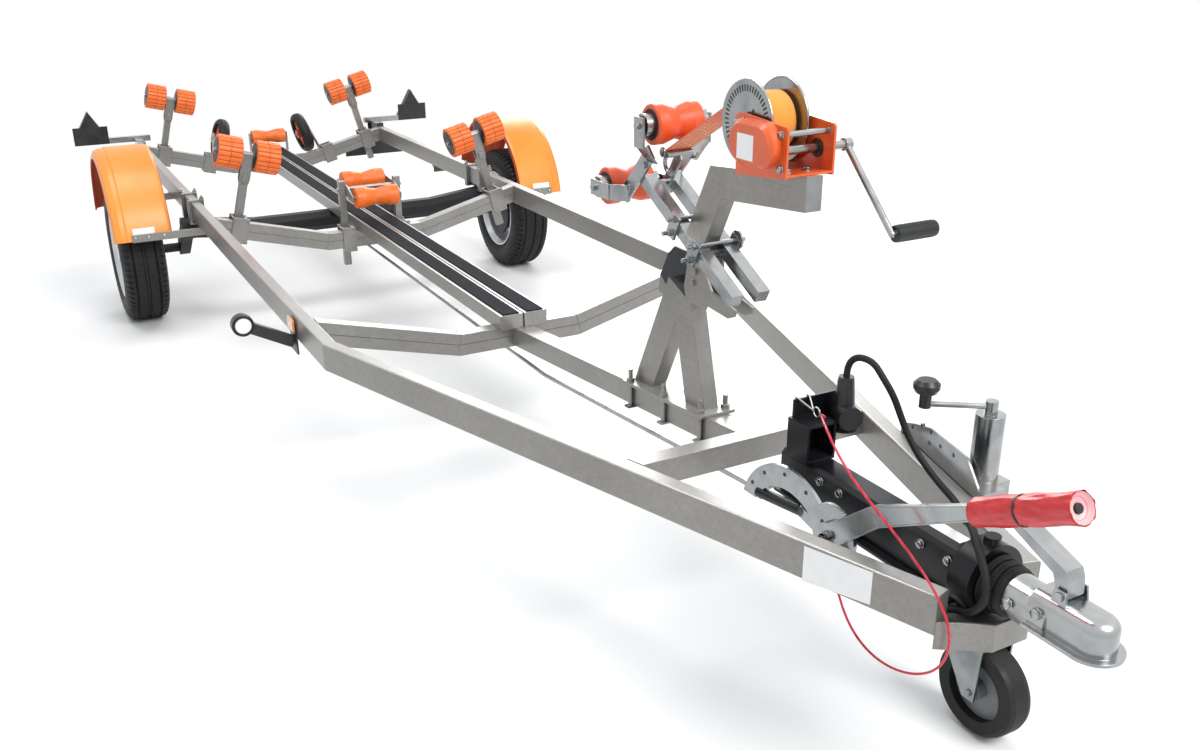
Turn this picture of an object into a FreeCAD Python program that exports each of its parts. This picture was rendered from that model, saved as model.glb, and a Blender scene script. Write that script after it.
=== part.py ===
import FreeCAD, Part
import math
import os

os.makedirs("parts", exist_ok=True)
V = FreeCAD.Vector

# Single-axle boat trailer with keel planks, hull rollers, a winch post and an overrun coupling.
# Lengths in mm. +X is forward to the coupling, +Y is the trailer's left, Z = 0 is the ground.
# Every place is worked out from the wheel axle, which is at X = 0 until the pieces are saved.

# Clearances that serve all pieces
fit = 0.1
seat = 0.3
running = 6.0
overrun_cut = 5.0

# Side rails, cranked in towards the drawbar
rail_height = 80.0
rail_width = 40.0
rail_top = 550.0
rail_half = 696.0
rail_rear_x = -1345.0
rail_kink_ahead = 198.0
rail_front_x = 4130.0
rail_front_half = 125.0
rail_round = 5.0

# Cross beams: a low middle and two arms that rise to the rails
cross_depth = 50.0
cross_height = 70.0
cross_low_top = 433.0
cross_bend_half = 205.0
cross_front_x = 2139.0
cross_mid_x = 645.0
cross_rear_x = -1290.0

# Drawbar middle beam, cross tube and front plate
centre_width = 60.0
centre_height = 60.0
centre_rear_top = 430.0
drawbar_tube_x = 3393.0
drawbar_tube_depth = 45.0
drawbar_tube_height = 60.0
nose_plate_thick = 6.0
nose_plate_drop = 55.0
nose_plate_top_drop = 50.0
nose_plate_reach = 58.0
nose_plate_front_half = 42.0
nose_tie_drop = 76.0
nose_tie_length = 80.0

# Keel planks with rubber treads
plank_width = 79.0
plank_gap = 5.0
plank_height = 48.0
plank_ahead = 27.0
plank_rear_x = -1330.0
tread_width = 56.0
tread_thick = 4.0
plank_cap_thick = 4.0

# Wheels and tyres
wheel_outboard = 222.0
tyre_radius = 298.0
tyre_width = 184.0
tyre_shoulder = 34.0
rim_radius = 183.0
rim_width = 150.0
rim_wall = 5.0
disc_thick = 9.0
disc_offset = 32.0
hub_radius = 52.0
hub_length = 46.0
centre_cap_radius = 34.0
drum_radius = 122.0
drum_width = 58.0
vent_radius = 16.0
vent_ring_radius = 118.0
vent_count = 8

# Torsion axle
axle_ahead = 172.0
axle_tube_height = 84.0
axle_tube_depth = 92.0
axle_tube_bevel = 24.0
axle_tube_top = 430.0
axle_end_rise = 32.0
axle_bend_half = 421.0
axle_inset = 6.0
arm_width = 46.0
arm_eye_radius = 48.0
stub_radius = 20.0
backplate_radius = 128.0
backplate_thick = 10.0
backplate_gap = 6.0
clamp_half_spacing = 82.0
clamp_bar_width = 30.0
clamp_plate_thick = 8.0
clamp_overhang = 14.0

# Mudguards
guard_radius = 405.0
guard_centre_z = 365.0
guard_width = 230.0
guard_wall = 5.0
guard_end_angle = 10.5
guard_round = 30.0
guard_crease_offset = 52.0
guard_crease_step = 5.0
guard_skirt = 46.0
guard_flange = 20.0
stay_height = 32.0
stay_thick = 5.0
stay_lip = 24.0
stay_below_rail = 2.0

# Hull roller units on the arms of the middle and rear cross beams
post_along_arm = 372.0
post_width = 32.0
post_depth = 26.0
post_bottom = 165.0
post_above_pivot = 14.0
post_clamp_width = 66.0
post_clamp_wall = 6.0
post_clamp_above = 18.0
clamp_bolt_radius = 5.0
yoke_pivot_up = 172.0
yoke_shaft_up = 97.0
yoke_wall = 5.0
yoke_half_width = 21.0
yoke_web_up = 33.0
yoke_boss_radius = 15.0
yoke_boss_half = 22.0
pivot_bolt_radius = 8.0
hull_roller_radius = 63.0
hull_roller_length = 96.0
hull_roller_spacing = 152.0
hull_roller_wall = 11.0
hull_roller_groove = 3.0
roller_hub_radius = 19.0
roller_web = 10.0
roller_shaft_radius = 9.0

# Keel rocker on the middle cross beam
upright_half_place = 122.0
upright_width = 28.0
upright_depth = 26.0
upright_bottom_z = 274.0
rocker_pivot_z = 605.0
rocker_pivot_above = 34.0
rocker_reach = 92.0
rocker_nose_down = 19.0
rocker_hang = 6.0
rocker_plate = 6.0
rocker_plate_half_height = 17.0
rocker_bolt_radius = 8.0
keel_roller_length = 186.0
keel_roller_radius = 43.0
keel_roller_waist = 33.0
keel_shaft_radius = 8.0

# Rear keel roller and the two guide wheels behind the rear cross beam
rear_roller_z = 551.0
rear_roller_radius = 39.0
rear_roller_waist = 30.0
rear_bracket_thick = 6.0
rear_bracket_width = 40.0
rear_bracket_above = 22.0
guide_back = 140.0
guide_along_arm = 56.0
guide_up = 86.0
guide_radius = 115.0
guide_width = 66.0
guide_tyre_depth = 28.0
guide_hub_radius = 24.0
guide_shaft_radius = 10.0
guide_plate = 7.0
guide_plate_gap = 7.0

# Winch post on the drawbar middle beam: two leaning legs, held together by cheeks at their top
stand_plate_thick = 8.0
stand_plate_half = 48.0
stand_rear_x = 2895.0
stand_front_x = 3275.0
stand_band_width = 24.0
stand_band_thick = 5.0
stand_stud_radius = 6.0
stand_stud_height = 34.0
stand_nut_radius = 11.0
stand_nut_height = 10.0
post_half = 20.0
leg_depth = 80.0
rear_leg_x = 2911.0
rear_leg_lean = 26.5
front_leg_x = 3246.0
front_leg_lean = 15.2
leg_top_z = 836.0
cheek_thick = 6.0
cheek_low_z = 800.0
cheek_high_z = 893.0
cheek_back_x = 3152.0
cheek_front_x = 3364.0
cheek_rear_reach = 190.0
cheek_bolt_radius = 8.0

# Two slider tubes that cross the post's head, and the riser clamped between them
slider_width = 31.0
slider_height = 30.0
slider_low_x = 3379.0
slider_low_z = 860.0
slider_high_x = 2995.0
slider_high_z = 1063.0
clamp_rod_radius = 5.0
clamp_side_thick = 6.0
clamp_side_width = 34.0
clamp_front_along = 166.0
clamp_rear_along = 262.0
clamp_rod_stick = 22.0
clamp_washer_radius = 22.0
riser_along = 215.0
riser_depth = 72.0
winch_arm_rear_x = 3243.0
winch_arm_front_x = 3578.0
winch_arm_rear_top = 1134.0
winch_arm_front_top = 1166.0
winch_arm_height = 71.0

# Bow stop on the sliders' upper ends: two side plates with a roller above and one below
bow_plate_thick = 6.0
bow_bar_width = 40.0
bow_mid_high_x = 3028.0
bow_mid_high_z = 1122.0
bow_mid_low_x = 2930.0
bow_mid_low_z = 1022.0
bow_plate_half = 88.0
bow_upper_x = 3050.0
bow_upper_z = 1201.0
bow_upper_foot_z = 1150.0
bow_lower_x = 2832.0
bow_lower_z = 1019.0
bow_lower_foot_x = 2905.0
bow_roller_length = 124.0
bow_roller_radius = 47.0
bow_roller_waist = 37.0
bow_hub_length = 22.0
bow_hub_radius = 27.0
bow_pin_stick = 8.0
bow_cross_thick = 8.0
bow_cross_along = 34.0
bow_hook_x = 3068.0
bow_hook_width = 26.0

# Winch
winch_half = 60.0
winch_wall = 5.0
winch_rear_x = 3392.0
winch_front_x = 3562.0
winch_top_z = 1262.0
winch_skirt = 3.0
winch_tie_x = 3542.0
winch_tie_z = 1246.0
winch_tie_radius = 6.0
drum_x = 3405.0
drum_z = 1251.0
drum_flange_radius = 88.0
drum_flange_thick = 4.0
drum_flange_half = 46.0
drum_core_radius = 26.0
strap_wound_radius = 60.0
strap_width = 70.0
strap_thick = 3.0
strap_slope = 0.54
drum_shaft_radius = 11.0
crank_x = 3512.0
crank_z = 1208.0
crank_arm_length = 220.0
crank_arm_down_angle = 45.0
crank_y = 130.0
crank_boss_radius = 13.0
crank_boss_half = 8.0
crank_bar_radius = 7.0
crank_shaft_radius = 9.0
crank_grip_radius = 17.0
crank_grip_length = 110.0
gear_cover_radius = 46.0
gear_cover_rear_x = 3445.0
gear_cover_front_x = 3501.0
gear_cover_z = 1221.0
gear_cover_bulge = 30.0
gear_cover_round = 9.0

# Overrun housing and coupling
housing_rear_x = 3567.0
housing_front_x = 4090.0
housing_half = 34.0
housing_top = 582.0
housing_bottom = 486.0
housing_wall = 6.0
housing_bevel = 9.0
housing_flange = 16.0
collar_radius = 68.0
collar_length = 48.0
collar_boss_radius = 15.0
collar_boss_top = 632.0
bellows_radius = 52.0
bellows_length = 52.0
drawtube_z = 550.0
coupling_collar_radius = 42.0
coupling_collar_length = 52.0
coupling_half = 37.0
coupling_top = 600.0
coupling_bottom = 540.0
coupling_ball_x = 4346.0
coupling_lip = 13.0
coupling_lip_thick = 6.0
ball_radius = 25.0
ball_up = 26.0
coupling_lever_x = 4290.0
coupling_lever_up = 10.0
coupling_lever_half = 20.0
coupling_lever_wall = 4.0
coupling_lever_knee = 40.0
coupling_lever_back = 113.0
coupling_lever_rise = 42.0

# Handbrake beside the housing
brake_y = -100.0
brake_x = 3814.0
brake_z = 506.0
brake_plate_thick = 8.0
brake_quadrant_radius = 63.0
crescent_x = 3670.0
crescent_z = 426.0
crescent_outer_radius = 162.0
crescent_inner_radius = 127.0
crescent_drop = 15.0
crescent_foot_z = 474.0
brake_lever_length = 602.0
brake_lever_angle = 30.3
brake_lever_bend = 168.0
brake_lever_bend_angle = 39.4
brake_lever_thick = 14.0
brake_lever_root_width = 48.0
brake_lever_bend_width = 42.0
brake_lever_tip_width = 17.0
brake_grip_radius = 24.0
brake_grip_length = 182.0
brake_hub_radius = 30.0
spring_radius = 12.0
spring_rear_x = 3566.0
spring_rear_z = 490.0
spring_front_x = 3714.0
spring_front_z = 512.0
brake_rod_radius = 6.0
brake_rod_y = -20.0
brake_rod_z = 343.0
brake_rod_low_x = 2357.0
brake_rod_low_z = 335.0
brake_rod_end_x = 3479.0
brake_rod_end_z = 437.0

# Lead with its parked plug, and the breakaway cable; their routes are with their functions
cord_arc_share = 0.45
lead_radius = 7.5
lead_gland_size = 26.0
lead_gland_back = 45.0
plug_radius = 26.0
plug_length = 112.0
cable_radius = 2.5
cable_ring_radius = 10.0
cable_ring_y = -12.0
hook_wire_radius = 2.0

# Holder that stands on the housing and parks the plug at its left end
holder_rear_x = 3592.0
holder_depth = 68.0
holder_right_y = -42.0
holder_left_y = 32.0
holder_block_top = 666.0
holder_plate_x = 3597.0
holder_plate_right_y = -36.0
holder_plate_left_y = 96.0
holder_plate_low = 668.0
holder_plate_top = 706.0
holder_wall = 5.0
holder_cup_x = 3640.0
holder_cup_y = 66.0
holder_cup_low = 636.0
holder_cup_radius = 31.0

# Jockey wheel clamped to the left rail
jockey_x = 3863.0
jockey_y = 252.0
jockey_tube_radius = 30.0
jockey_tube_top = 713.0
jockey_tube_bottom = 318.0
jockey_cap_height = 28.0
jockey_cap_radius = 13.0
jockey_crank_length = 130.0
jockey_crank_angle = 234.0
jockey_crank_radius = 6.0
jockey_knob_radius = 27.0
jockey_knob_height = 52.0
jockey_stem_radius = 24.0
jockey_stem_in = 60.0
jockey_wheel_radius = 105.0
jockey_wheel_width = 70.0
jockey_trail = 75.0
jockey_fork_wall = 5.0
jockey_fork_gap = 6.0
jockey_axle_radius = 8.0
jockey_clamp_low = 505.0
jockey_clamp_high = 572.0
jockey_clamp_front_x = 3925.0
jockey_clamp_wall = 8.0
jockey_plate_thick = 5.0
jockey_plate_rear_x = 3569.0
jockey_plate_low_z = 440.0
jockey_plate_high_z = 619.0
jockey_plate_fold = 30.0

# Lamps
lamp_arm_size = 30.0
lamp_arm_z = 560.0
lamp_back = 110.0
lamp_outboard = 222.0
lamp_width = 176.0
lamp_height = 150.0
lamp_bottom_z = 588.0
lamp_depth = 42.0
lamp_board_thick = 4.0
plate_width = 360.0
plate_height = 82.0
plate_centre_y = 672.0
plate_bottom_z = 362.0
marker_x = 1970.0
marker_out = 150.0
marker_rise = 76.0
marker_bracket_width = 70.0
marker_bracket_thick = 5.0
marker_arm_size = 34.0
marker_lamp_radius = 33.0
marker_lamp_thick = 26.0


# Places that follow from the sizes above

rail_bottom = rail_top - rail_height
rail_kink_x = cross_front_x + rail_kink_ahead
plank_front_x = cross_front_x + plank_ahead
track_half = rail_half + wheel_outboard
axle_half = rail_half - axle_inset
lamp_y = rail_half + lamp_outboard
rail_slope = (rail_half - rail_front_half) / (rail_front_x - rail_kink_x)
rail_turn = math.atan(rail_slope)
arm_slope = (rail_top - cross_low_top) / (rail_half - rail_width - cross_bend_half)
arm_angle = math.atan(arm_slope)
axle_x = axle_ahead
plank_top = cross_low_top + plank_height
guide_x = cross_rear_x - cross_depth - guide_back
rear_reach = guide_x - guide_radius
front_reach = coupling_ball_x + coupling_half + coupling_lip
mid_x = (rear_reach + front_reach) / 2
slider_half_in = post_half
slider_half_out = post_half + slider_width


def rail_outer(x):
    """Half width across the rails' outer faces at x."""
    if x <= rail_kink_x:
        return rail_half
    return rail_half - (x - rail_kink_x) * rail_slope


def rail_inner(x):
    """Half width between the rails' inner faces at x."""
    if x <= rail_kink_x:
        return rail_half - rail_width
    return rail_outer(x) - rail_width / math.cos(rail_turn)


# Shape helpers

def box(x0, x1, y0, y1, z0, z1):
    low = V(min(x0, x1), min(y0, y1), min(z0, z1))
    return Part.makeBox(abs(x1 - x0), abs(y1 - y0), abs(z1 - z0), low)


def prism(points, push):
    """Closed outline of 3-D points, pushed along a vector."""
    return Part.Face(Part.makePolygon(points + [points[0]])).extrude(push)


def plate_xy(points, z0, z1):
    return prism([V(x, y, z0) for x, y in points], V(0, 0, z1 - z0))


def plate_xz(points, y0, y1):
    return prism([V(x, y0, z) for x, z in points], V(0, y1 - y0, 0))


def plate_yz(points, x0, x1):
    return prism([V(x0, y, z) for y, z in points], V(x1 - x0, 0, 0))


def rod(start, end, radius):
    way = end - start
    return Part.makeCylinder(radius, way.Length, start, way)


def bar(start, end, width, height, up):
    """Square-cut bar: width across, height along up."""
    way = end - start
    side = way.cross(up)
    side.normalize()
    rise = side.cross(way)
    rise.normalize()
    half_side = side * (width / 2)
    half_rise = rise * (height / 2)
    corners = [start - half_side - half_rise, start + half_side - half_rise,
               start + half_side + half_rise, start - half_side + half_rise]
    return prism(corners, way)


def turned(profile, centre, axis):
    """Ring or body from (radius, along) points, turned about an axis through centre."""
    points = [V(r, 0, a) for r, a in profile]
    face = Part.Face(Part.makePolygon(points + [points[0]]))
    body = face.revolve(V(0, 0, 0), V(0, 0, 1), 360)
    body.Placement = FreeCAD.Placement(centre, FreeCAD.Rotation(V(0, 0, 1), axis))
    return body


def fuse(shapes):
    whole = shapes[0]
    if len(shapes) > 1:
        whole = whole.multiFuse(shapes[1:])
    return whole.removeSplitter()


def save(name, shape):
    """Write one node, moved so that the trailer's middle is at X = 0."""
    placed = shape.copy()
    placed.translate(V(-mid_x, 0, 0))
    if not placed.isValid():
        print("not valid:", name)
    placed.exportStep("parts/" + name + ".step")
    print(name, len(placed.Solids), round(placed.Volume / 1e6, 3), "litres")


def arm_point(side, along, up):
    """Y and Z of a place on a cross-beam arm: along it from the bend, and up from its top face."""
    y = cross_bend_half + along * math.cos(arm_angle) - up * math.sin(arm_angle)
    z = cross_low_top + along * math.sin(arm_angle) + up * math.cos(arm_angle)
    return side * y, z


def arm_vector(side, x, along, up):
    y, z = arm_point(side, along, up)
    return V(x, y, z)


def arm_direction(side):
    return V(0, side * math.cos(arm_angle), math.sin(arm_angle))


def arm_block(side, x0, x1, along0, along1, up0, up1):
    """Block square to a cross-beam arm."""
    corners = [(along0, up0), (along1, up0), (along1, up1), (along0, up1)]
    return plate_yz([arm_point(side, a, u) for a, u in corners], x0, x1)


# Frame

def side_rail(side):
    turn_x = math.cos(rail_turn)
    turn_y = math.sin(rail_turn)
    kink_in = rail_width * math.tan(rail_turn / 2)
    outline = [(rail_rear_x, rail_half), (rail_kink_x, rail_half), (rail_front_x, rail_front_half),
               (rail_front_x - rail_width * turn_y, rail_front_half - rail_width * turn_x),
               (rail_kink_x - kink_in, rail_half - rail_width), (rail_rear_x, rail_half - rail_width)]
    rail = plate_xy([(x, side * y) for x, y in outline], rail_bottom, rail_top)
    long_edges = [e for e in rail.Edges
                  if abs(e.Vertexes[0].Z - e.Vertexes[-1].Z) < fit and e.Length > rail_height * 2]
    return rail.makeFillet(rail_round, long_edges)


def cross_beam(front_x):
    drop = cross_height * math.tan(arm_angle / 2)
    inner = rail_half - rail_width
    under = rail_top - cross_height / math.cos(arm_angle)
    top = [(-inner, rail_top), (-cross_bend_half, cross_low_top),
           (cross_bend_half, cross_low_top), (inner, rail_top)]
    low = [(inner, under), (cross_bend_half + drop, cross_low_top - cross_height),
           (-cross_bend_half - drop, cross_low_top - cross_height), (-inner, under)]
    return plate_yz(top + low, front_x - cross_depth, front_x)


def centre_beam():
    rise = centre_rise()
    down = centre_height * math.sqrt(1 + rise * rise)
    outline = [(cross_front_x, centre_rear_top), (drawbar_tube_x, rail_top),
               (drawbar_tube_x, rail_top - drawbar_tube_height),
               (drawbar_tube_x - down * rise, rail_top - down - down * rise * rise),
               (cross_front_x, centre_rear_top - down)]
    return plate_xz(outline, -centre_width / 2, centre_width / 2)


def centre_rise():
    return (rail_top - centre_rear_top) / (drawbar_tube_x - cross_front_x)


def centre_top(x):
    """Height of the middle beam's top face at x."""
    return centre_rear_top + centre_rise() * (x - cross_front_x)


def drawbar_tube():
    x0 = drawbar_tube_x
    x1 = drawbar_tube_x + drawbar_tube_depth
    outline = [(x0, -rail_inner(x0)), (x1, -rail_inner(x1)), (x1, rail_inner(x1)), (x0, rail_inner(x0))]
    return plate_xy(outline, rail_top - drawbar_tube_height, rail_top)


def nose_outline(inset):
    """Half-round plan of the nose plate, drawn in by the given amount."""
    back = rail_front_x
    front = rail_front_x + nose_plate_reach
    half = rail_front_half
    return [(back, -half + inset), (front - inset, -nose_plate_front_half + inset / 2),
            (front - inset, nose_plate_front_half - inset / 2), (back, half - inset)]


def nose_plate():
    """Upright band across the rails' front ends, on a flat tie under the housing."""
    top = rail_top - nose_plate_top_drop
    band = plate_xy(nose_outline(0), top - nose_plate_drop, top)
    inside = plate_xy(nose_outline(nose_plate_thick), top - nose_plate_drop - overrun_cut,
                      top + overrun_cut)
    inside.translate(V(-fit, 0, 0))
    tie_top = rail_top - nose_tie_drop
    floor = plate_xy(nose_outline(0), tie_top - nose_plate_thick, tie_top)
    x0 = rail_front_x - nose_tie_length
    x1 = rail_front_x
    tie = plate_xy([(x0, seat - rail_inner(x0)), (x1, seat - rail_inner(x1)), (x1, rail_inner(x1) - seat),
                    (x0, rail_inner(x0) - seat)], tie_top - nose_plate_thick, tie_top)
    pad_half = housing_half
    pad = box(x0, x0 + nose_tie_length / 2, -pad_half, pad_half, tie_top, housing_bottom)
    return fuse([band.cut(inside), floor, tie, pad])


def drawbar_members():
    return Part.makeCompound([drawbar_tube(), nose_plate(), lead_gland()])


def keel_planks():
    planks = []
    for side in (-1, 1):
        y0 = side * plank_gap / 2
        y1 = side * (plank_gap / 2 + plank_width)
        planks.append(box(plank_rear_x, plank_front_x, y0, y1, cross_low_top, plank_top))
    return Part.makeCompound(planks)


def plank_treads():
    treads = []
    for side in (-1, 1):
        centre = side * (plank_gap + plank_width) / 2
        treads.append(box(plank_rear_x + plank_cap_thick, plank_front_x - plank_cap_thick,
                          centre - tread_width / 2, centre + tread_width / 2,
                          plank_top, plank_top + tread_thick))
    return Part.makeCompound(treads)


# Axle, wheels and mudguards

def axle_section(y, top):
    """Bevelled box section of the torsion tube at y."""
    half = axle_tube_depth / 2
    bevel = axle_tube_bevel
    low = top - axle_tube_height
    outline = [(-half, low + bevel), (-half + bevel, low), (half - bevel, low), (half, low + bevel),
               (half, top - bevel), (half - bevel, top), (-half + bevel, top), (-half, top - bevel)]
    points = [V(axle_x + x, y, z) for x, z in outline]
    return Part.makePolygon(points + [points[0]])


def torsion_axle():
    end_top = axle_tube_top + axle_end_rise
    middle = Part.makeLoft([axle_section(-axle_bend_half, axle_tube_top),
                            axle_section(axle_bend_half, axle_tube_top)], True, True)
    pieces = [middle]
    stub_end = track_half + disc_offset - disc_thick * 2
    for side in (-1, 1):
        pieces.append(Part.makeLoft([axle_section(side * axle_bend_half, axle_tube_top),
                                     axle_section(side * axle_half, end_top)], True, True))
        tube_z = end_top - axle_tube_height / 2
        eye = V(axle_x, side * (axle_half - overrun_cut), tube_z)
        eye_end = V(axle_x, side * (axle_half + arm_width), tube_z)
        pieces.append(rod(eye, eye_end, arm_eye_radius))
        inner_y = side * axle_half
        outer_y = side * (axle_half + arm_width)
        low = arm_eye_radius * 0.75
        outline = [(axle_x, tube_z + low), (0, tyre_radius + low), (-low, tyre_radius),
                   (0, tyre_radius - low), (axle_x, tube_z - low)]
        pieces.append(plate_xz(outline, inner_y, outer_y))
        pieces.append(rod(V(0, inner_y, tyre_radius), V(0, side * stub_end, tyre_radius), stub_radius))
        back = side * (drum_inner_y() - backplate_gap)
        pieces.append(rod(V(0, back, tyre_radius), V(0, back - side * backplate_thick, tyre_radius),
                          backplate_radius))
        seat_reach = clamp_half_spacing + clamp_bar_width
        pieces.append(box(axle_x - seat_reach, axle_x + seat_reach, side * (rail_half - rail_width),
                          side * rail_half, rail_bottom - clamp_plate_thick, rail_bottom))
    return fuse(pieces)


def drum_inner_y():
    """Inner face of the brake drum, which sits just inside the tyre."""
    return track_half + disc_offset - disc_thick / 2 - drum_width - hub_length / 2


def axle_clamps():
    """Square loops that clamp the axle's seat plate under each rail."""
    loops = []
    inner = rail_half - rail_width
    low = rail_bottom - clamp_plate_thick - seat
    for side in (-1, 1):
        for end in (-1, 1):
            x = axle_x + end * clamp_half_spacing
            x0 = x - clamp_bar_width / 2
            x1 = x + clamp_bar_width / 2
            y0 = side * (inner - clamp_overhang)
            y1 = side * (rail_half + clamp_overhang)
            top = box(x0, x1, y0, y1, rail_top, rail_top + clamp_plate_thick)
            bottom = box(x0, x1, y0, y1, low - clamp_plate_thick, low)
            outer = box(x0, x1, side * (rail_half + seat), y1, low, rail_top)
            within = box(x0, x1, y0, side * (inner - seat), low, rail_top)
            loops.append(fuse([top, bottom, outer, within]))
    return Part.makeCompound(loops)


def tyre(side):
    half = tyre_width / 2
    bead = rim_width / 2
    shoulder = tyre_shoulder
    crown = tyre_radius
    clear = rim_radius + rim_lip() / 2 + seat
    wall = tyre_radius - clear
    profile = [(rim_radius, -bead), (clear, -bead), (clear, -bead - rim_lip() / 2),
               (clear + wall * 0.4, -half),
               (crown - shoulder * 0.9, -half + shoulder * 0.06),
               (crown - shoulder * 0.42, -half + shoulder * 0.26),
               (crown - shoulder * 0.12, -half + shoulder * 0.62), (crown, -half + shoulder * 1.2)]
    profile = profile + [(r, -a) for r, a in reversed(profile)]
    return turned(profile, V(0, side * track_half, tyre_radius), V(0, 1, 0))


def rim_lip():
    """Height and depth of the rim's rolled edge."""
    return rim_wall * 3


def wheel(side):
    """Steel wheel with its hub and brake drum, seen open from both sides."""
    half = rim_width / 2
    lip = rim_lip()
    barrel = [(rim_radius - seat, -half - lip / 2), (rim_radius + lip / 2, -half - lip / 2),
              (rim_radius + lip / 2, -half - seat), (rim_radius - seat, -half - seat),
              (rim_radius - seat, half + seat),
              (rim_radius + lip / 2, half + seat), (rim_radius + lip / 2, half + lip / 2),
              (rim_radius - seat, half + lip / 2), (rim_radius - lip, half - lip),
              (rim_radius - lip, -half + lip)]
    disc_at = disc_offset
    face = [(0, disc_at - disc_thick / 2), (hub_radius * 1.4, disc_at - disc_thick / 2),
            (vent_ring_radius * 0.72, disc_at + disc_thick), (vent_ring_radius * 1.2, disc_at),
            (rim_radius - lip * 1.5, disc_at - disc_thick * 2),
            (rim_radius - lip / 2, disc_at - disc_thick * 2),
            (rim_radius - lip / 2, disc_at - disc_thick), (rim_radius - lip * 1.5, disc_at - disc_thick),
            (vent_ring_radius * 1.2, disc_at + disc_thick),
            (vent_ring_radius * 0.72, disc_at + disc_thick * 2),
            (hub_radius * 1.4, disc_at + disc_thick / 2), (0, disc_at + disc_thick / 2)]
    centre = V(0, 0, 0)
    axis = V(0, 0, 1)
    body = [turned(barrel, centre, axis), turned(face, centre, axis)]
    cap_end = disc_at + hub_length
    body.append(rod(V(0, 0, disc_at), V(0, 0, cap_end), centre_cap_radius))
    drum_start = disc_at - disc_thick / 2 - drum_width
    body.append(rod(V(0, 0, drum_start), V(0, 0, disc_at), drum_radius * 0.62))
    body.append(rod(V(0, 0, drum_start), V(0, 0, disc_at - disc_thick * 3), drum_radius))
    body.append(rod(V(0, 0, drum_start - hub_length / 2), V(0, 0, disc_at), hub_radius))
    whole = fuse(body)
    vents = []
    for i in range(vent_count):
        angle = 2 * math.pi * i / vent_count
        spot = V(vent_ring_radius * 1.12 * math.cos(angle), vent_ring_radius * 1.12 * math.sin(angle),
                 disc_at - disc_thick * 2)
        vents.append(rod(spot, spot + V(0, 0, disc_thick * 4 + overrun_cut), vent_radius))
    bore_start = V(0, 0, drum_start - hub_length / 2 - overrun_cut)
    vents.append(rod(bore_start, V(0, 0, disc_at - disc_thick), stub_radius + fit))
    whole = whole.cut(Part.makeCompound(vents))
    whole.Placement = FreeCAD.Placement(V(0, side * track_half, tyre_radius),
                                        FreeCAD.Rotation(V(0, 0, 1), V(0, side, 0)))
    return whole


def guard_section():
    """Mudguard skin as (radius, distance outboard from the inner edge) points."""
    r = guard_radius
    w = guard_width
    t = guard_wall
    e = guard_round
    step = guard_crease_step
    crease = w - guard_crease_offset
    outside = [(r - guard_flange, 0), (r - e / 2, 0), (r - e * 0.15, e * 0.15), (r, e / 2),
               (r, crease), (r - step, crease + step), (r - step, w - e),
               (r - step - e * 0.3, w - e * 0.3), (r - step - e, w), (r - guard_skirt, w)]
    inside = [(r - guard_skirt, w - t), (r - step - e, w - t),
              (r - step - e * 0.3 - t * 0.7, w - e * 0.3 - t * 0.7), (r - step - t, w - e),
              (r - step - t, crease + step - t * 0.4), (r - t, crease - t * 0.4), (r - t, e / 2),
              (r - e * 0.15 - t * 0.7, e * 0.15 + t * 0.7), (r - e / 2, t), (r - guard_flange, t)]
    return outside + inside


def mudguard(side):
    inner_y = track_half - guard_width / 2
    points = [V(r, side * (inner_y + out), guard_centre_z) for r, out in guard_section()]
    face = Part.Face(Part.makePolygon(points + [points[0]]))
    centre = V(0, side * track_half, guard_centre_z)
    skin = face.revolve(centre, V(0, -1, 0), 180 - 2 * guard_end_angle)
    skin.rotate(centre, V(0, -1, 0), guard_end_angle)
    return skin


def mudguard_stays():
    """Flat bars with a top lip, one at each end of both mudguards."""
    stays = []
    end_z = guard_centre_z + guard_radius * math.sin(math.radians(guard_end_angle))
    end_x = guard_radius * math.cos(math.radians(guard_end_angle))
    top = rail_bottom - stay_below_rail
    for side in (-1, 1):
        for end in (-1, 1):
            x0 = end * (end_x + seat)
            x1 = end * (end_x + seat + stay_thick)
            outer = side * (track_half + guard_width * 0.2)
            inner = side * (rail_half - rail_width)
            web = box(x0, x1, inner, outer, top - stay_height, top)
            lip = box(x1, end * (end_x + stay_lip), inner, side * rail_half, top - stay_thick, rail_bottom)
            stays.append(fuse([web, lip]))
    return Part.makeCompound(stays)


# Hull roller units

def behind(front_x):
    """Rear face of a cross beam, with the seat left for what is clamped to it."""
    return front_x - cross_depth - seat


def clamp_bolts(side, front_x, along, depth):
    """Four bolts above and below a cross-beam arm, between the front plate and the post's back."""
    half = post_clamp_width / 2 - clamp_bolt_radius * 1.6
    bolts = []
    for up in (post_clamp_above / 2, -cross_height - post_clamp_above / 2):
        for step in (-half, half):
            start = arm_vector(side, front_x + post_clamp_wall * 2, along + step, up)
            end = arm_vector(side, behind(front_x) - depth - post_clamp_wall * 2, along + step, up)
            bolts.append(rod(start, end, clamp_bolt_radius))
    return bolts


def clamp_plates(side, front_x, along, depth):
    """Front plate on the beam and rear plate on the post that it holds."""
    half = post_clamp_width / 2
    low = -cross_height - post_clamp_above
    back = behind(front_x) - depth
    front = arm_block(side, front_x, front_x + post_clamp_wall, along - half, along + half, low,
                      post_clamp_above)
    rear = arm_block(side, back - post_clamp_wall, back, along - half, along + half, low, post_clamp_above)
    return [front, rear] + clamp_bolts(side, front_x, along, depth)


def roller_post(side, front_x):
    x1 = behind(front_x)
    post = arm_block(side, x1 - post_depth, x1, post_along_arm - post_width / 2,
                     post_along_arm + post_width / 2, -post_bottom, yoke_pivot_up + post_above_pivot)
    pivot = arm_vector(side, x1, post_along_arm, yoke_pivot_up)
    bore = rod(pivot + V(overrun_cut, 0, 0), pivot - V(post_depth * 2, 0, 0), pivot_bolt_radius + fit)
    return fuse([post] + clamp_plates(side, front_x, post_along_arm, post_depth)).cut(bore)


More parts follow.
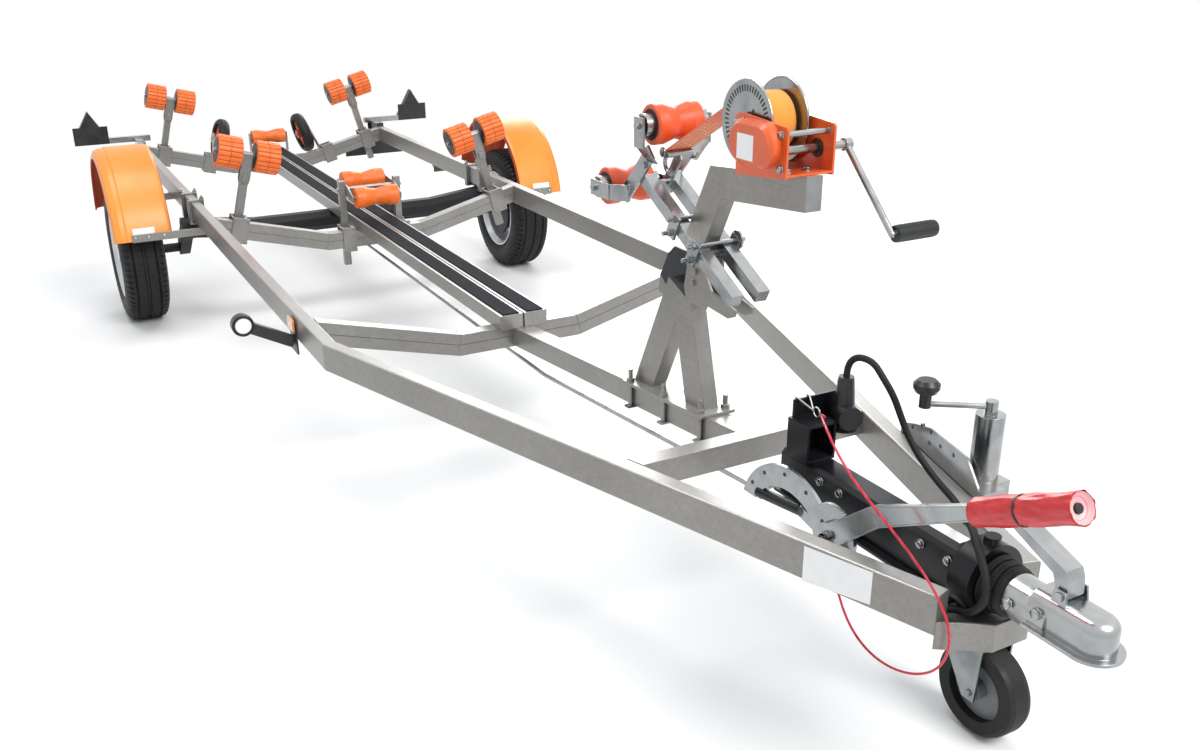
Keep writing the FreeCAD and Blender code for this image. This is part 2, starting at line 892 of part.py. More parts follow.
def roller_posts():
    """The four posts, each with its clamp on a cross beam's arm."""
    places = [(side, x) for x in (cross_mid_x, cross_rear_x) for side in (-1, 1)]
    return Part.makeCompound([roller_post(side, x) for side, x in places])


def yoke(side, front_x):
    """Fork over the post's head that carries the roller shaft."""
    front = behind(front_x)
    back = front - post_depth
    shaft_up = yoke_pivot_up + yoke_shaft_up
    half = yoke_half_width
    at = post_along_arm
    outline = [(at - half * 0.8, yoke_pivot_up - half), (at + half * 0.8, yoke_pivot_up - half),
               (at + half, yoke_pivot_up), (at + half, shaft_up), (at - half, shaft_up),
               (at - half, yoke_pivot_up)]
    corners = [arm_point(side, a, u) for a, u in outline]
    cheeks = [plate_yz(corners, front + seat, front + seat + yoke_wall),
              plate_yz(corners, back - seat - yoke_wall, back - seat)]
    web = arm_block(side, back - seat, front + seat, at - half, at + half,
                    yoke_pivot_up + yoke_web_up, yoke_pivot_up + yoke_web_up + yoke_wall)
    shaft_x = (front + back) / 2
    inner_end = arm_vector(side, shaft_x, at - yoke_boss_half, shaft_up)
    outer_end = arm_vector(side, shaft_x, at + yoke_boss_half, shaft_up)
    boss = rod(inner_end, outer_end, yoke_boss_radius)
    top = arm_block(side, back - seat - yoke_wall, front + seat + yoke_wall, at - half, at + half,
                    shaft_up - yoke_wall, shaft_up + yoke_wall)
    pivot = arm_vector(side, back - seat - yoke_wall * 2, at, yoke_pivot_up)
    bolt_end = V(front + seat + yoke_wall * 2.6, pivot.y, pivot.z)
    bolt = rod(pivot, bolt_end, pivot_bolt_radius)
    head = rod(V(front + seat + yoke_wall, pivot.y, pivot.z), bolt_end, pivot_bolt_radius * 1.7)
    body = fuse(cheeks + [web, boss, top, bolt, head])
    past = arm_direction(side) * overrun_cut
    return body.cut(rod(inner_end - past, outer_end + past, roller_shaft_radius + fit))


def hull_roller():
    """Hollow roller along Z, its middle at the origin; its ribs are left to the surface."""
    half = hull_roller_length / 2
    r = hull_roller_radius
    inner = r - hull_roller_wall
    web = roller_web / 2
    profile = [(0, -half), (roller_hub_radius, -half), (roller_hub_radius, -web), (inner, -web),
               (inner, -half),
               (r - hull_roller_groove, -half), (r, -half + hull_roller_groove),
               (r, half - hull_roller_groove),
               (r - hull_roller_groove, half), (inner, half), (inner, web), (roller_hub_radius, web),
               (roller_hub_radius, half), (0, half)]
    return turned(profile, V(0, 0, 0), V(0, 0, 1))


def roller_pair(side, front_x):
    shaft_x = behind(front_x) - post_depth / 2
    shaft_up = yoke_pivot_up + yoke_shaft_up
    direction = arm_direction(side)
    centre = arm_vector(side, shaft_x, post_along_arm, shaft_up)
    pieces = []
    for end in (-1, 1):
        roller = hull_roller()
        roller.Placement = FreeCAD.Placement(centre + direction * (end * hull_roller_spacing / 2),
                                             FreeCAD.Rotation(V(0, 0, 1), direction))
        pieces.append(roller)
    half = hull_roller_spacing / 2 + hull_roller_length / 2 + roller_shaft_radius
    pieces.append(rod(centre - direction * half, centre + direction * half, roller_shaft_radius))
    return fuse(pieces)


# Keel rocker and rear keel roller

def rocker_pivot():
    return V(behind(cross_mid_x) - upright_depth / 2, 0, rocker_pivot_z)


def rocker_uprights():
    uprights = []
    x1 = behind(cross_mid_x)
    x0 = x1 - upright_depth
    half = upright_width
    low = cross_low_top - cross_height - post_clamp_above
    high = cross_low_top + post_clamp_above
    pivot = rocker_pivot()
    for side in (-1, 1):
        centre = side * upright_half_place
        pieces = [box(x0, x1, centre - upright_width / 2, centre + upright_width / 2,
                      upright_bottom_z, rocker_pivot_z + rocker_pivot_above)]
        pieces.append(box(cross_mid_x, cross_mid_x + post_clamp_wall, centre - half, centre + half, low,
                          high))
        pieces.append(box(x0 - post_clamp_wall, x0, centre - half, centre + half, low, high))
        step = half - clamp_bolt_radius * 1.6
        for z in (low + post_clamp_above / 2, high - post_clamp_above / 2):
            for y in (centre - step, centre + step):
                pieces.append(rod(V(x0 - post_clamp_wall * 2, y, z),
                                  V(cross_mid_x + post_clamp_wall * 2, y, z), clamp_bolt_radius))
        bore = rod(V(pivot.x, 0, pivot.z), V(pivot.x, side * (upright_half_place + upright_width), pivot.z),
                   rocker_bolt_radius + fit)
        uprights.append(fuse(pieces).cut(bore))
    return Part.makeCompound(uprights)


def rocker_shaft(end):
    """Centre of a rocker roller: end is 1 in front, -1 behind."""
    pivot = rocker_pivot()
    return V(pivot.x + end * rocker_reach, 0, pivot.z - rocker_hang - end * rocker_nose_down)


def rocker_frame():
    pivot = rocker_pivot()
    front = rocker_shaft(1)
    back = rocker_shaft(-1)
    h = rocker_plate_half_height
    outer = upright_half_place - upright_width / 2 - seat
    pieces = []
    for side in (-1, 1):
        outline = [(back.x - h, back.z - h), (pivot.x, pivot.z - h * 1.5), (front.x + h, front.z - h),
                   (front.x + h, front.z + h * 0.6), (pivot.x + h, pivot.z + h * 1.1),
                   (pivot.x - h, pivot.z + h * 1.1),
                   (back.x - h, back.z + h * 0.8)]
        pieces.append(plate_xz(outline, side * (outer - rocker_plate), side * outer))
        pieces.append(rod(V(pivot.x, side * (outer - rocker_plate), pivot.z),
                          V(pivot.x, side * (outer + upright_width + rocker_plate), pivot.z),
                          rocker_bolt_radius))
    pieces.append(rod(V(pivot.x, -outer, pivot.z), V(pivot.x, outer, pivot.z), rocker_bolt_radius))
    frame = fuse(pieces)
    for shaft in (front, back):
        frame = frame.cut(rod(V(shaft.x, -outer - overrun_cut, shaft.z),
                              V(shaft.x, outer + overrun_cut, shaft.z), keel_shaft_radius + fit))
    return frame


def waisted_roller(centre, length, radius, waist, shaft_radius, shaft_half):
    """Spool roller across the trailer, thin in its middle, on its own shaft."""
    half = length / 2
    round_off = (radius - waist) * 0.35
    profile = [(0, -half), (radius - round_off, -half), (radius, -half + round_off),
               (radius, -half * 0.55), (waist, -half * 0.06), (waist, half * 0.06),
               (radius, half * 0.55), (radius, half - round_off), (radius - round_off, half), (0, half)]
    body = turned(profile, centre, V(0, 1, 0))
    shaft = rod(centre - V(0, shaft_half, 0), centre + V(0, shaft_half, 0), shaft_radius)
    return fuse([body, shaft])


def rocker_roller(end):
    outer = upright_half_place - upright_width / 2 - seat
    return waisted_roller(rocker_shaft(end), keel_roller_length, keel_roller_radius, keel_roller_waist,
                          keel_shaft_radius, outer - seat)


def rear_roller_centre():
    return V(cross_rear_x - cross_depth / 2, 0, rear_roller_z)


def rear_keel_roller():
    return waisted_roller(rear_roller_centre(), keel_roller_length, rear_roller_radius, rear_roller_waist,
                          keel_shaft_radius, keel_roller_length / 2 + running + rear_bracket_thick)


def guide_centre(side):
    return arm_vector(side, guide_x, guide_along_arm, guide_up)


def guide_plate_start():
    return guide_along_arm + guide_width / 2 + guide_plate_gap


def rear_roller_brackets():
    """Ears for the rear keel roller and the plates that carry the guide wheels."""
    brackets = []
    centre = rear_roller_centre()
    for side in (-1, 1):
        y0 = side * (keel_roller_length / 2 + running)
        y1 = y0 + side * rear_bracket_thick
        ear = box(centre.x - rear_bracket_width / 2, centre.x + rear_bracket_width / 2, y0, y1,
                  cross_low_top, centre.z + rear_bracket_above)
        foot = box(centre.x - rear_bracket_width / 2, centre.x + rear_bracket_width / 2, y0,
                   y0 + side * rear_bracket_width, cross_low_top, cross_low_top + rear_bracket_thick)
        bore = rod(V(centre.x, y0 - side * overrun_cut, centre.z),
                   V(centre.x, y1 + side * overrun_cut, centre.z), keel_shaft_radius + fit)
        brackets.append(fuse([ear, foot]).cut(bore))
        brackets.append(guide_bracket(side))
    return Part.makeCompound(brackets)


def guide_bracket(side):
    back = behind(cross_rear_x)
    start = guide_plate_start()
    middle = start + post_clamp_width / 2
    h = guide_hub_radius
    outline = [(back, -cross_height), (back, post_clamp_above), (guide_x + h, guide_up + h * 1.3),
               (guide_x - h, guide_up + h * 1.3), (guide_x - h, guide_up - h), (guide_x + h, guide_up - h)]
    corners = [arm_vector(side, x, start, up) for x, up in outline]
    web = prism(corners, arm_direction(side) * guide_plate)
    centre = guide_centre(side)
    out = arm_direction(side)
    bolt = rod(centre - out * (guide_width / 2 + guide_plate),
               centre + out * (guide_width / 2 + guide_plate * 2.5), guide_shaft_radius)
    return fuse([web, bolt] + clamp_plates(side, cross_rear_x, middle, 0))


def guide_wheel(side):
    half = guide_width / 2
    deep = guide_radius - guide_tyre_depth
    web = half * 0.35
    profile = [(guide_shaft_radius + fit, -half), (guide_hub_radius, -half), (guide_hub_radius, -web),
               (deep, -web), (deep, -half * 0.8), (guide_radius - half * 0.5, -half * 0.95),
               (guide_radius - half * 0.2, -half * 0.72), (guide_radius, -half * 0.3),
               (guide_radius, half * 0.3), (guide_radius - half * 0.2, half * 0.72),
               (guide_radius - half * 0.5, half * 0.95), (deep, half * 0.8), (deep, web),
               (guide_hub_radius, web), (guide_hub_radius, half), (guide_shaft_radius + fit, half)]
    return turned(profile, guide_centre(side), arm_direction(side))


# Winch post

def stand_base(x):
    """Top face of the base plate at x."""
    return centre_top(x) + stand_plate_thick


def leaning_leg(edge_x, side, lean):
    """Leg from its outer edge on the base plate: side is 1 for the rear leg, which leans forward."""
    turn = math.radians(lean)
    slope = side * math.tan(turn)
    other_x = edge_x + side * leg_depth / math.cos(turn)
    outline = []
    for x in (edge_x, other_x):
        foot_z = stand_base(x) - stand_plate_thick / 2
        outline.append((x, foot_z))
        outline.append((x + slope * (leg_top_z - foot_z), leg_top_z))
    outline = [outline[0], outline[2], outline[3], outline[1]]
    return plate_xz(outline, -post_half, post_half)


def cheek_point(share):
    """Place on the post's cheek from shares of its length and height."""
    x = cheek_back_x + share[0] * (cheek_front_x - cheek_back_x)
    z = cheek_low_z + share[1] * (cheek_high_z - cheek_low_z)
    return x, z


def slider_underside(x):
    way = slider_axis()
    return slider_low_z + (x - slider_low_x) * way.z / way.x - slider_height / 2 / abs(way.x)


def cheek_outline(rear_shares):
    """Outline with an ear up to the slider; rear_shares adds the longer back of the left cheek."""
    back_shares = ((0.0, 0.37), (0.05, 0.87))
    front_shares = ((0.42, 0.91), (0.55, 0.54), (1.0, 0.34), (0.98, 0.17), (0.87, 0.06), (0.46, 0.13),
                    (0.43, 0.0), (0.06, 0.0))
    points = [cheek_point(s) for s in rear_shares + back_shares]
    for share in (back_shares[-1], front_shares[0]):
        x = cheek_point(share)[0]
        points.append((x, slider_underside(x) - seat))
    return points + [cheek_point(s) for s in front_shares]


def cheeks():
    ratio = cheek_rear_reach / (cheek_front_x - cheek_back_x)
    rear_shares = ((0.1, 0.18), (-0.5 * ratio, -0.43), (-ratio, -0.38), (-0.96 * ratio, 0.12),
                   (-0.77 * ratio, 0.8), (-0.62 * ratio, 1.05), (-0.06 * ratio, 1.05))
    right = plate_xz(cheek_outline(()), -post_half - cheek_thick, -post_half)
    left_points = [cheek_point(s) for s in rear_shares]
    left_back = plate_xz(left_points, post_half, post_half + cheek_thick)
    left = plate_xz(cheek_outline(()), post_half, post_half + cheek_thick)
    return [right, left, left_back]


def hex_nut(centre, axis, radius, height):
    turns = [math.pi / 3 * i for i in range(6)]
    points = [V(radius * math.cos(a), radius * math.sin(a), 0) for a in turns]
    nut = prism(points, V(0, 0, height))
    nut.Placement = FreeCAD.Placement(centre, FreeCAD.Rotation(V(0, 0, 1), axis))
    return nut


def stand_band(x):
    """Band under the middle beam with a stud and nut on each side of it."""
    half = stand_band_width / 2
    down = centre_height * math.sqrt(1 + centre_rise() ** 2)
    low = [(x - half, centre_top(x - half) - down), (x + half, centre_top(x + half) - down),
           (x + half, centre_top(x + half) - down - stand_band_thick),
           (x - half, centre_top(x - half) - down - stand_band_thick)]
    pieces = [plate_xz(low, -stand_plate_half, stand_plate_half)]
    for side in (-1, 1):
        y = side * (centre_width / 2 + stand_stud_radius + seat)
        foot = V(x, y, low[0][1] - stand_band_thick)
        top = stand_base(x)
        pieces.append(rod(foot, V(x, y, top + stand_stud_height), stand_stud_radius))
        pieces.append(hex_nut(V(x, y, top - seat), V(0, 0, 1), stand_nut_radius, stand_nut_height))
    return pieces


def winch_stand():
    base = plate_xz([(stand_rear_x, centre_top(stand_rear_x)), (stand_front_x, centre_top(stand_front_x)),
                     (stand_front_x, stand_base(stand_front_x)), (stand_rear_x, stand_base(stand_rear_x))],
                    -stand_plate_half, stand_plate_half)
    pieces = [base, leaning_leg(rear_leg_x, 1, rear_leg_lean), leaning_leg(front_leg_x, -1, front_leg_lean)]
    pieces += cheeks()
    for x in (stand_rear_x + stand_band_width, (stand_rear_x + stand_front_x) / 2,
              stand_front_x - stand_band_width):
        pieces += stand_band(x)
    bolt_half = post_half + cheek_thick * 2
    for share in ((0.23, 0.88), (0.19, 0.57)):
        x, z = cheek_point(share)
        pieces.append(rod(V(x, -bolt_half, z), V(x, bolt_half, z), cheek_bolt_radius))
    stand = fuse(pieces)
    low_rod = slider_place(clamp_front_along, -clamp_rod_up(), 0)
    reach = V(0, post_half + cheek_thick + overrun_cut, 0)
    return stand.cut(rod(low_rod - reach, low_rod + reach, clamp_rod_radius + fit))


def slider_axis():
    """Direction of the sliders, from their low front end to their high rear end."""
    way = V(slider_high_x - slider_low_x, 0, slider_high_z - slider_low_z)
    way.normalize()
    return way


def slider_normal():
    """Direction square to the sliders, upward."""
    way = slider_axis()
    return V(way.z, 0, -way.x)


def slider_place(along, up, y):
    """Place from the sliders' low end: along them, up square to them, at y."""
    return V(slider_low_x, y, slider_low_z) + slider_axis() * along + slider_normal() * up


def slider_block(along0, along1, up0, up1, y0, y1):
    corners = [slider_place(a, u, y0) for a,
               u in ((along0, up0), (along1, up0), (along1, up1), (along0, up1))]
    return prism(corners, V(0, y1 - y0, 0))


def slider_length():
    return math.hypot(slider_high_x - slider_low_x, slider_high_z - slider_low_z)


def clamp_rod_up():
    """Distance of the clamp rods from the sliders' middle line."""
    return slider_height / 2 + clamp_rod_radius + seat


def slider_clamps():
    """Two clamps round the sliders: side plates joined by a rod above and a rod below."""
    clamps = []
    plate_up = clamp_rod_up() + clamp_rod_radius * 2
    half = clamp_side_width / 2
    outer = slider_half_out + clamp_side_thick
    for along in (clamp_front_along, clamp_rear_along):
        pieces = []
        for side in (-1, 1):
            pieces.append(slider_block(along - half, along + half, -plate_up, plate_up,
                                       side * (slider_half_out + seat), side * (outer + seat)))
        for side in (-1, 1):
            start = slider_place(along, side * clamp_rod_up(), -outer - clamp_rod_stick)
            end = slider_place(along, side * clamp_rod_up(), outer + clamp_rod_stick)
            pieces.append(rod(start, end, clamp_rod_radius))
            for y, way in ((-outer, -1), (outer, 1)):
                pieces.append(hex_nut(slider_place(along, side * clamp_rod_up(), y), V(0, way, 0),
                                      clamp_rod_radius * 1.8, clamp_rod_radius * 1.6))
        clamps.append(fuse(pieces))
    washer_at = slider_place(clamp_front_along, clamp_rod_up(), outer)
    washer = rod(washer_at, washer_at + V(0, clamp_rod_radius, 0), clamp_washer_radius)
    clamps[0] = fuse([clamps[0], washer])
    return Part.makeCompound(clamps)


def winch_arm():
    """Riser clamped between the sliders, with the level arm that carries the winch."""
    slope = (winch_arm_front_top - winch_arm_rear_top) / (winch_arm_front_x - winch_arm_rear_x)

    def meet(along, drop):
        """Where the riser's edge meets a line below the arm's top."""
        foot = slider_place(along, 0, 0)
        n = slider_normal()
        up = (winch_arm_rear_top - drop + slope * (foot.x - winch_arm_rear_x) - foot.z) / (n.z - slope * n.x)
        return foot + n * up

    rear = riser_along + riser_depth / 2
    front = riser_along - riser_depth / 2
    low_rear = slider_place(rear, -slider_height / 2, 0)
    low_front = slider_place(front, -slider_height / 2, 0)
    head_rear = meet(rear, 0)
    head_front = meet(front, winch_arm_height)
    outline = [(low_rear.x, low_rear.z), (low_front.x, low_front.z), (head_front.x, head_front.z),
               (winch_arm_front_x, winch_arm_front_top - winch_arm_height),
               (winch_arm_front_x, winch_arm_front_top), (head_rear.x, head_rear.z)]
    return plate_xz(outline, -post_half, post_half)


def strap_way():
    """Direction of the strap from the drum down to the bow stop."""
    way = V(-1, 0, -strap_slope)
    way.normalize()
    return way


def strap_normal():
    way = strap_way()
    return V(way.z, 0, -way.x)


def strap_touch():
    """Middle of the strap where it leaves the drum's winding."""
    return V(drum_x, 0, drum_z) + strap_normal() * (strap_wound_radius + seat + strap_thick / 2)


def strap_end():
    way = strap_way()
    touch = strap_touch()
    return touch + way * ((bow_hook_x - touch.x) / way.x)


def hook_pin():
    """Middle of the cross pin under the strap's end."""
    back = strap_end() - strap_way() * keel_shaft_radius
    return back - strap_normal() * (strap_thick / 2 + seat + keel_shaft_radius)


def flat_bar(x0, z0, x1, z1, width, y0, y1):
    """Upright flat bar between two places, longer by half its width at each end."""
    way = V(x1 - x0, 0, z1 - z0)
    way.normalize()
    across = V(way.z, 0, -way.x) * (width / 2)
    start = V(x0, y0, z0) - way * (width / 2)
    end = V(x1, y0, z1) + way * (width / 2)
    return prism([start - across, end - across, end + across, start + across], V(0, y1 - y0, 0))


def bow_side_plate(side):
    """Flat bar on a slider's end that steps out to the upper roller and to the lower one."""
    t = bow_plate_thick
    half = bow_bar_width / 2
    inner = slider_half_out
    outer = bow_plate_half
    pieces = [flat_bar(bow_mid_low_x, bow_mid_low_z, bow_mid_high_x, bow_mid_high_z, bow_bar_width,
                       side * inner, side * (inner + t))]
    pieces.append(box(bow_upper_x - half, bow_upper_x + half, side * outer, side * (outer + t),
                      bow_upper_foot_z, bow_upper_z + half))
    pieces.append(box(bow_lower_x - half, bow_lower_foot_x, side * outer, side * (outer + t),
                      bow_lower_z - half, bow_lower_z + half))
    low = bow_mid_high_z - half / 2
    step = [(side * inner, low), (side * (inner + t), low), (side * (outer + t), bow_upper_foot_z + t),
            (side * outer, bow_upper_foot_z + t)]
    pieces.append(plate_yz(step, bow_upper_x - half, bow_upper_x + half))
    near = bow_mid_low_x + half / 2
    step = [(near, side * inner), (near, side * (inner + t)), (bow_lower_foot_x - t, side * (outer + t)),
            (bow_lower_foot_x - t, side * outer)]
    pieces.append(plate_xy(step, bow_lower_z - half, bow_lower_z + half))
    return fuse(pieces)


def bow_stop_frame():
    """The sliders with their side plates, a cross plate and the hook for the strap."""
    long = slider_length()
    h = slider_height / 2
    pieces = []
    for side in (-1, 1):
        pieces.append(slider_block(0, long, -h, h, side * slider_half_in, side * slider_half_out))
        pieces.append(bow_side_plate(side))
        for x, z in ((bow_mid_high_x, bow_mid_high_z), (bow_mid_low_x, bow_mid_low_z)):
            bolt_x = (x * 2 + slider_high_x) / 3
            bolt_z = (z * 2 + slider_high_z) / 3
            y = side * (slider_half_out + bow_plate_thick)
            pieces.append(hex_nut(V(bolt_x, y - side * fit, bolt_z), V(0, side, 0), bow_plate_thick * 1.6,
                                  bow_plate_thick))
    cross_at = long - bow_cross_along
    pieces.append(slider_block(cross_at, cross_at + bow_cross_thick, -h, h, -slider_half_in,
                               slider_half_in))
    foot = slider_place(cross_at, h / 2, 0)
    pin = hook_pin()
    half = bow_hook_width / 2
    hook = [(foot.x - half, foot.z), (foot.x + half, foot.z), (pin.x + half, pin.z - half),
            (pin.x + half / 2, pin.z), (pin.x - half, pin.z)]
    pieces.append(plate_xz(hook, -bow_plate_thick / 2, bow_plate_thick / 2))
    pieces.append(rod(pin - V(0, strap_width / 2, 0), pin + V(0, strap_width / 2, 0), keel_shaft_radius))
    frame = fuse(pieces)
    reach = V(0, bow_plate_half + bow_plate_thick + overrun_cut, 0)
    for x, z in ((bow_upper_x, bow_upper_z), (bow_lower_x, bow_lower_z)):
        frame = frame.cut(rod(V(x, 0, z) - reach, V(x, 0, z) + reach, keel_shaft_radius + fit))
    return frame


def bow_roller(x, z):
    """Spool roller with a hub at each end and a pin through the side plates."""
    centre = V(x, 0, z)
    body = waisted_roller(centre, bow_roller_length, bow_roller_radius, bow_roller_waist, keel_shaft_radius,
                          bow_plate_half + bow_plate_thick + bow_pin_stick)
    half = bow_roller_length / 2 + bow_hub_length
    hubs = rod(centre - V(0, half, 0), centre + V(0, half, 0), bow_hub_radius)
    return fuse([body, hubs])


def winch_floor(x):
    """Top face of the winch arm at x."""
    slope = (winch_arm_front_top - winch_arm_rear_top) / (winch_arm_front_x - winch_arm_rear_x)
    return winch_arm_rear_top + slope * (x - winch_arm_rear_x)


def winch_wall_plate(side):
    """Side wall with a round lug behind the drum's bearing."""
    x0 = winch_rear_x
    x1 = winch_front_x
    z0 = winch_floor(x0) - winch_skirt
    z1 = winch_floor(x1) - winch_skirt
    lug = drum_shaft_radius * 2
    corner = winch_skirt * 2
    outline = [(x0, z0), (x1, z1), (x1, winch_top_z - corner), (x1 - corner, winch_top_z),
               (drum_x + lug / 2, drum_z + lug), (x0, drum_z + lug / 2)]
    y0 = side * (winch_half - winch_wall)
    wall = plate_xz(outline, y0, side * winch_half)
    disc = rod(V(drum_x, y0, drum_z), V(drum_x, side * winch_half, drum_z), lug)
    return fuse([wall, disc])


def gear_cover():
    """Bulged cover over the gears, round at both ends."""
    r = gear_cover_radius
    b = gear_cover_bulge
    e = gear_cover_round
    pieces = []
    for x in (gear_cover_rear_x, gear_cover_front_x):
        pieces.append(turned([(0, 0), (r, 0), (r, b - e), (r - e, b), (0, b)],
                             V(x, -winch_half, gear_cover_z), V(0, -1, 0)))
    section = [(0, -r), (e - b, -r), (-b, e - r), (-b, r - e), (e - b, r), (0, r)]
    pieces.append(plate_yz([(y - winch_half, z + gear_cover_z) for y, z in section],
                           gear_cover_rear_x, gear_cover_front_x))
    return fuse(pieces)


def winch_frame():
    """Folded frame: a floor, two side walls, a cross rod and the gear cover."""
    x0 = winch_rear_x
    x1 = winch_front_x
    z0 = winch_floor(x0) + seat
    z1 = winch_floor(x1) + seat
    floor = plate_xz([(x0, z0), (x1, z1), (x1, z1 + winch_wall), (x0, z0 + winch_wall)], -winch_half,
                     winch_half)
    tie = rod(V(winch_tie_x, -winch_half, winch_tie_z), V(winch_tie_x, winch_half, winch_tie_z),
              winch_tie_radius)
    frame = fuse([floor, winch_wall_plate(-1), winch_wall_plate(1), tie, gear_cover()])
    reach = winch_half + winch_wall
    frame = frame.cut(rod(V(drum_x, -reach, drum_z), V(drum_x, reach, drum_z), drum_shaft_radius + fit))
    return frame.cut(rod(V(crank_x, -reach, crank_z), V(crank_x, reach, crank_z), crank_shaft_radius + fit))


def winch_drum():
    half = drum_flange_half
    t = drum_flange_thick
    wound = strap_width / 2
    profile = [(0, -half), (drum_flange_radius, -half), (drum_flange_radius, -half + t),
               (drum_core_radius, -half + t),
               (drum_core_radius, -wound), (strap_wound_radius, -wound), (strap_wound_radius, wound),
               (drum_core_radius, wound), (drum_core_radius, half - t), (drum_flange_radius, half - t),
               (drum_flange_radius, half), (0, half)]
    centre = V(drum_x, 0, drum_z)
    drum = turned(profile, centre, V(0, 1, 0))
    reach = winch_half + winch_wall - fit
    shaft = rod(centre - V(0, reach, 0), centre + V(0, reach, 0), drum_shaft_radius)
    return fuse([drum, shaft])


def crank_end():
    angle = math.radians(crank_arm_down_angle)
    return V(crank_x + crank_arm_length * math.cos(angle), crank_y,
             crank_z - crank_arm_length * math.sin(angle))


def winch_crank():
    """Shaft with its collar and boss, a bent round bar, and the grip round the bar's end."""
    root = V(crank_x, crank_y, crank_z)
    end = crank_end()
    boss_step = V(0, crank_boss_half, 0)
    shaft = rod(V(crank_x, -winch_half, crank_z), root + boss_step, crank_shaft_radius)
    arm = round_run([root, end, end + V(0, crank_grip_length, 0)], crank_bar_radius)
    boss = rod(root - boss_step, root + boss_step, crank_boss_radius)
    grip = rod(end + boss_step, end + V(0, crank_grip_length, 0), crank_grip_radius)
    collar = rod(V(crank_x, winch_half + seat, crank_z), V(crank_x, winch_half + winch_wall * 3, crank_z),
                 crank_shaft_radius * 1.7)
    return fuse([shaft, arm, boss, grip, collar])


def winch_strap():
    """Taut strap from the wound drum down to the hook on the bow stop."""
    return bar(strap_touch(), strap_end(), strap_width, strap_thick, strap_normal())


# Overrun housing and coupling

def housing_section(inset, drop):
    """Channel section in Y and Z with bevelled top corners, open below."""
    half = housing_half - inset
    top = housing_top - inset
    return [(-half, housing_bottom - drop), (-half, top - housing_bevel), (housing_bevel - half, top),
            (half - housing_bevel, top), (half, top - housing_bevel), (half, housing_bottom - drop)]


def overrun_housing():
    """Channel with a round front collar, the boss on it and the bellows."""
    x0 = housing_rear_x
    x1 = housing_front_x
    outer = plate_yz(housing_section(0, 0), x0, x1)
    inner = plate_yz(housing_section(housing_wall, overrun_cut), x0 - overrun_cut, x1 - housing_wall)
    lips = [box(x0, x1 - housing_wall, side * housing_half, side * (housing_half + housing_flange),
                housing_bottom, housing_bottom + housing_wall) for side in (-1, 1)]
    collar = rod(V(x1, 0, drawtube_z), V(x1 + collar_length, 0, drawtube_z), collar_radius)
    boss_x = x1 + collar_length * 0.65
    boss = rod(V(boss_x, 0, drawtube_z), V(boss_x, 0, collar_boss_top), collar_boss_radius)
    gaiter = turned(bellows_profile(), V(x1 + collar_length, 0, drawtube_z), V(1, 0, 0))
    return fuse([outer.cut(inner)] + lips + [collar, boss, gaiter])


def bellows_profile():
    folds = 3
    pitch = bellows_length / folds
    points = [(0, 0)]
    for i in range(folds):
        taper = 1 - i * 0.04
        points += [(bellows_radius * taper * 0.88, pitch * i), (bellows_radius * taper, pitch * (i + 0.5))]
    points += [(bellows_radius * 0.84, bellows_length), (0, bellows_length)]
    return points


def coupling_rear():
    return housing_front_x + collar_length + bellows_length


def coupling_outline(grow):
    """Plan of the coupling head: straight sides and a round nose."""
    rear = coupling_rear() + coupling_collar_length
    half = coupling_half + grow
    side_line = Part.LineSegment(V(coupling_ball_x, half, 0), V(rear, half, 0)).toShape()
    back = Part.LineSegment(V(rear, half, 0), V(rear, -half, 0)).toShape()
    other = Part.LineSegment(V(rear, -half, 0), V(coupling_ball_x, -half, 0)).toShape()
    nose = Part.Arc(V(coupling_ball_x, -half, 0), V(coupling_ball_x + half, 0, 0),
                    V(coupling_ball_x, half, 0)).toShape()
    return Part.Face(Part.Wire([side_line, back, other, nose]))


def coupling_shell():
    """Pressed head with a flared lip and a round collar behind it."""
    rear = coupling_rear()
    collar = rod(V(rear, 0, drawtube_z), V(rear + coupling_collar_length + coupling_half, 0, drawtube_z),
                 coupling_collar_radius)
    body = coupling_outline(0).extrude(V(0, 0, coupling_top - coupling_bottom))
    body.translate(V(0, 0, coupling_bottom))
    top_edges = [e for e in body.Edges if min(v.Z for v in e.Vertexes) > coupling_top - fit
                 and max(v.X for v in e.Vertexes) > coupling_ball_x - fit]
    body = body.makeFillet(coupling_half * 0.6, top_edges)
    lip = coupling_outline(coupling_lip).extrude(V(0, 0, coupling_lip_thick))
    lip.translate(V(0, 0, coupling_bottom - coupling_lip_thick))
    return fuse([collar, body, lip])


def lever_pivot():
    return V(coupling_lever_x, 0, coupling_top + coupling_lever_up)


def coupling_ears():
    """Two ears on the head that hold the lever's pin."""
    pin = lever_pivot()
    ears = []
    w = pivot_bolt_radius * 2
    low = coupling_top - coupling_lever_wall
    for side in (-1, 1):
        y0 = side * (coupling_lever_half + running / 2)
        ears.append(plate_xz([(pin.x - w, low), (pin.x + w, low), (pin.x + w * 0.7, pin.z + w * 0.7),
                              (pin.x - w * 0.7, pin.z + w * 0.7)], y0, y0 + side * coupling_lever_wall))
    return ears


def coupling_head():
    """The head with its ears, the socket for the ball and the bore for the lever's pin."""
    head = fuse([coupling_shell()] + coupling_ears())
    ball = V(coupling_ball_x, 0, coupling_bottom + ball_up)
    mouth = rod(V(ball.x, 0, coupling_bottom - coupling_lip_thick - overrun_cut), ball, ball_radius)
    head = head.cut(mouth).cut(Part.makeSphere(ball_radius, ball))
    pin = lever_pivot()
    reach = V(0, coupling_half * 2, 0)
    return head.cut(rod(pin - reach, pin + reach, pivot_bolt_radius + fit))


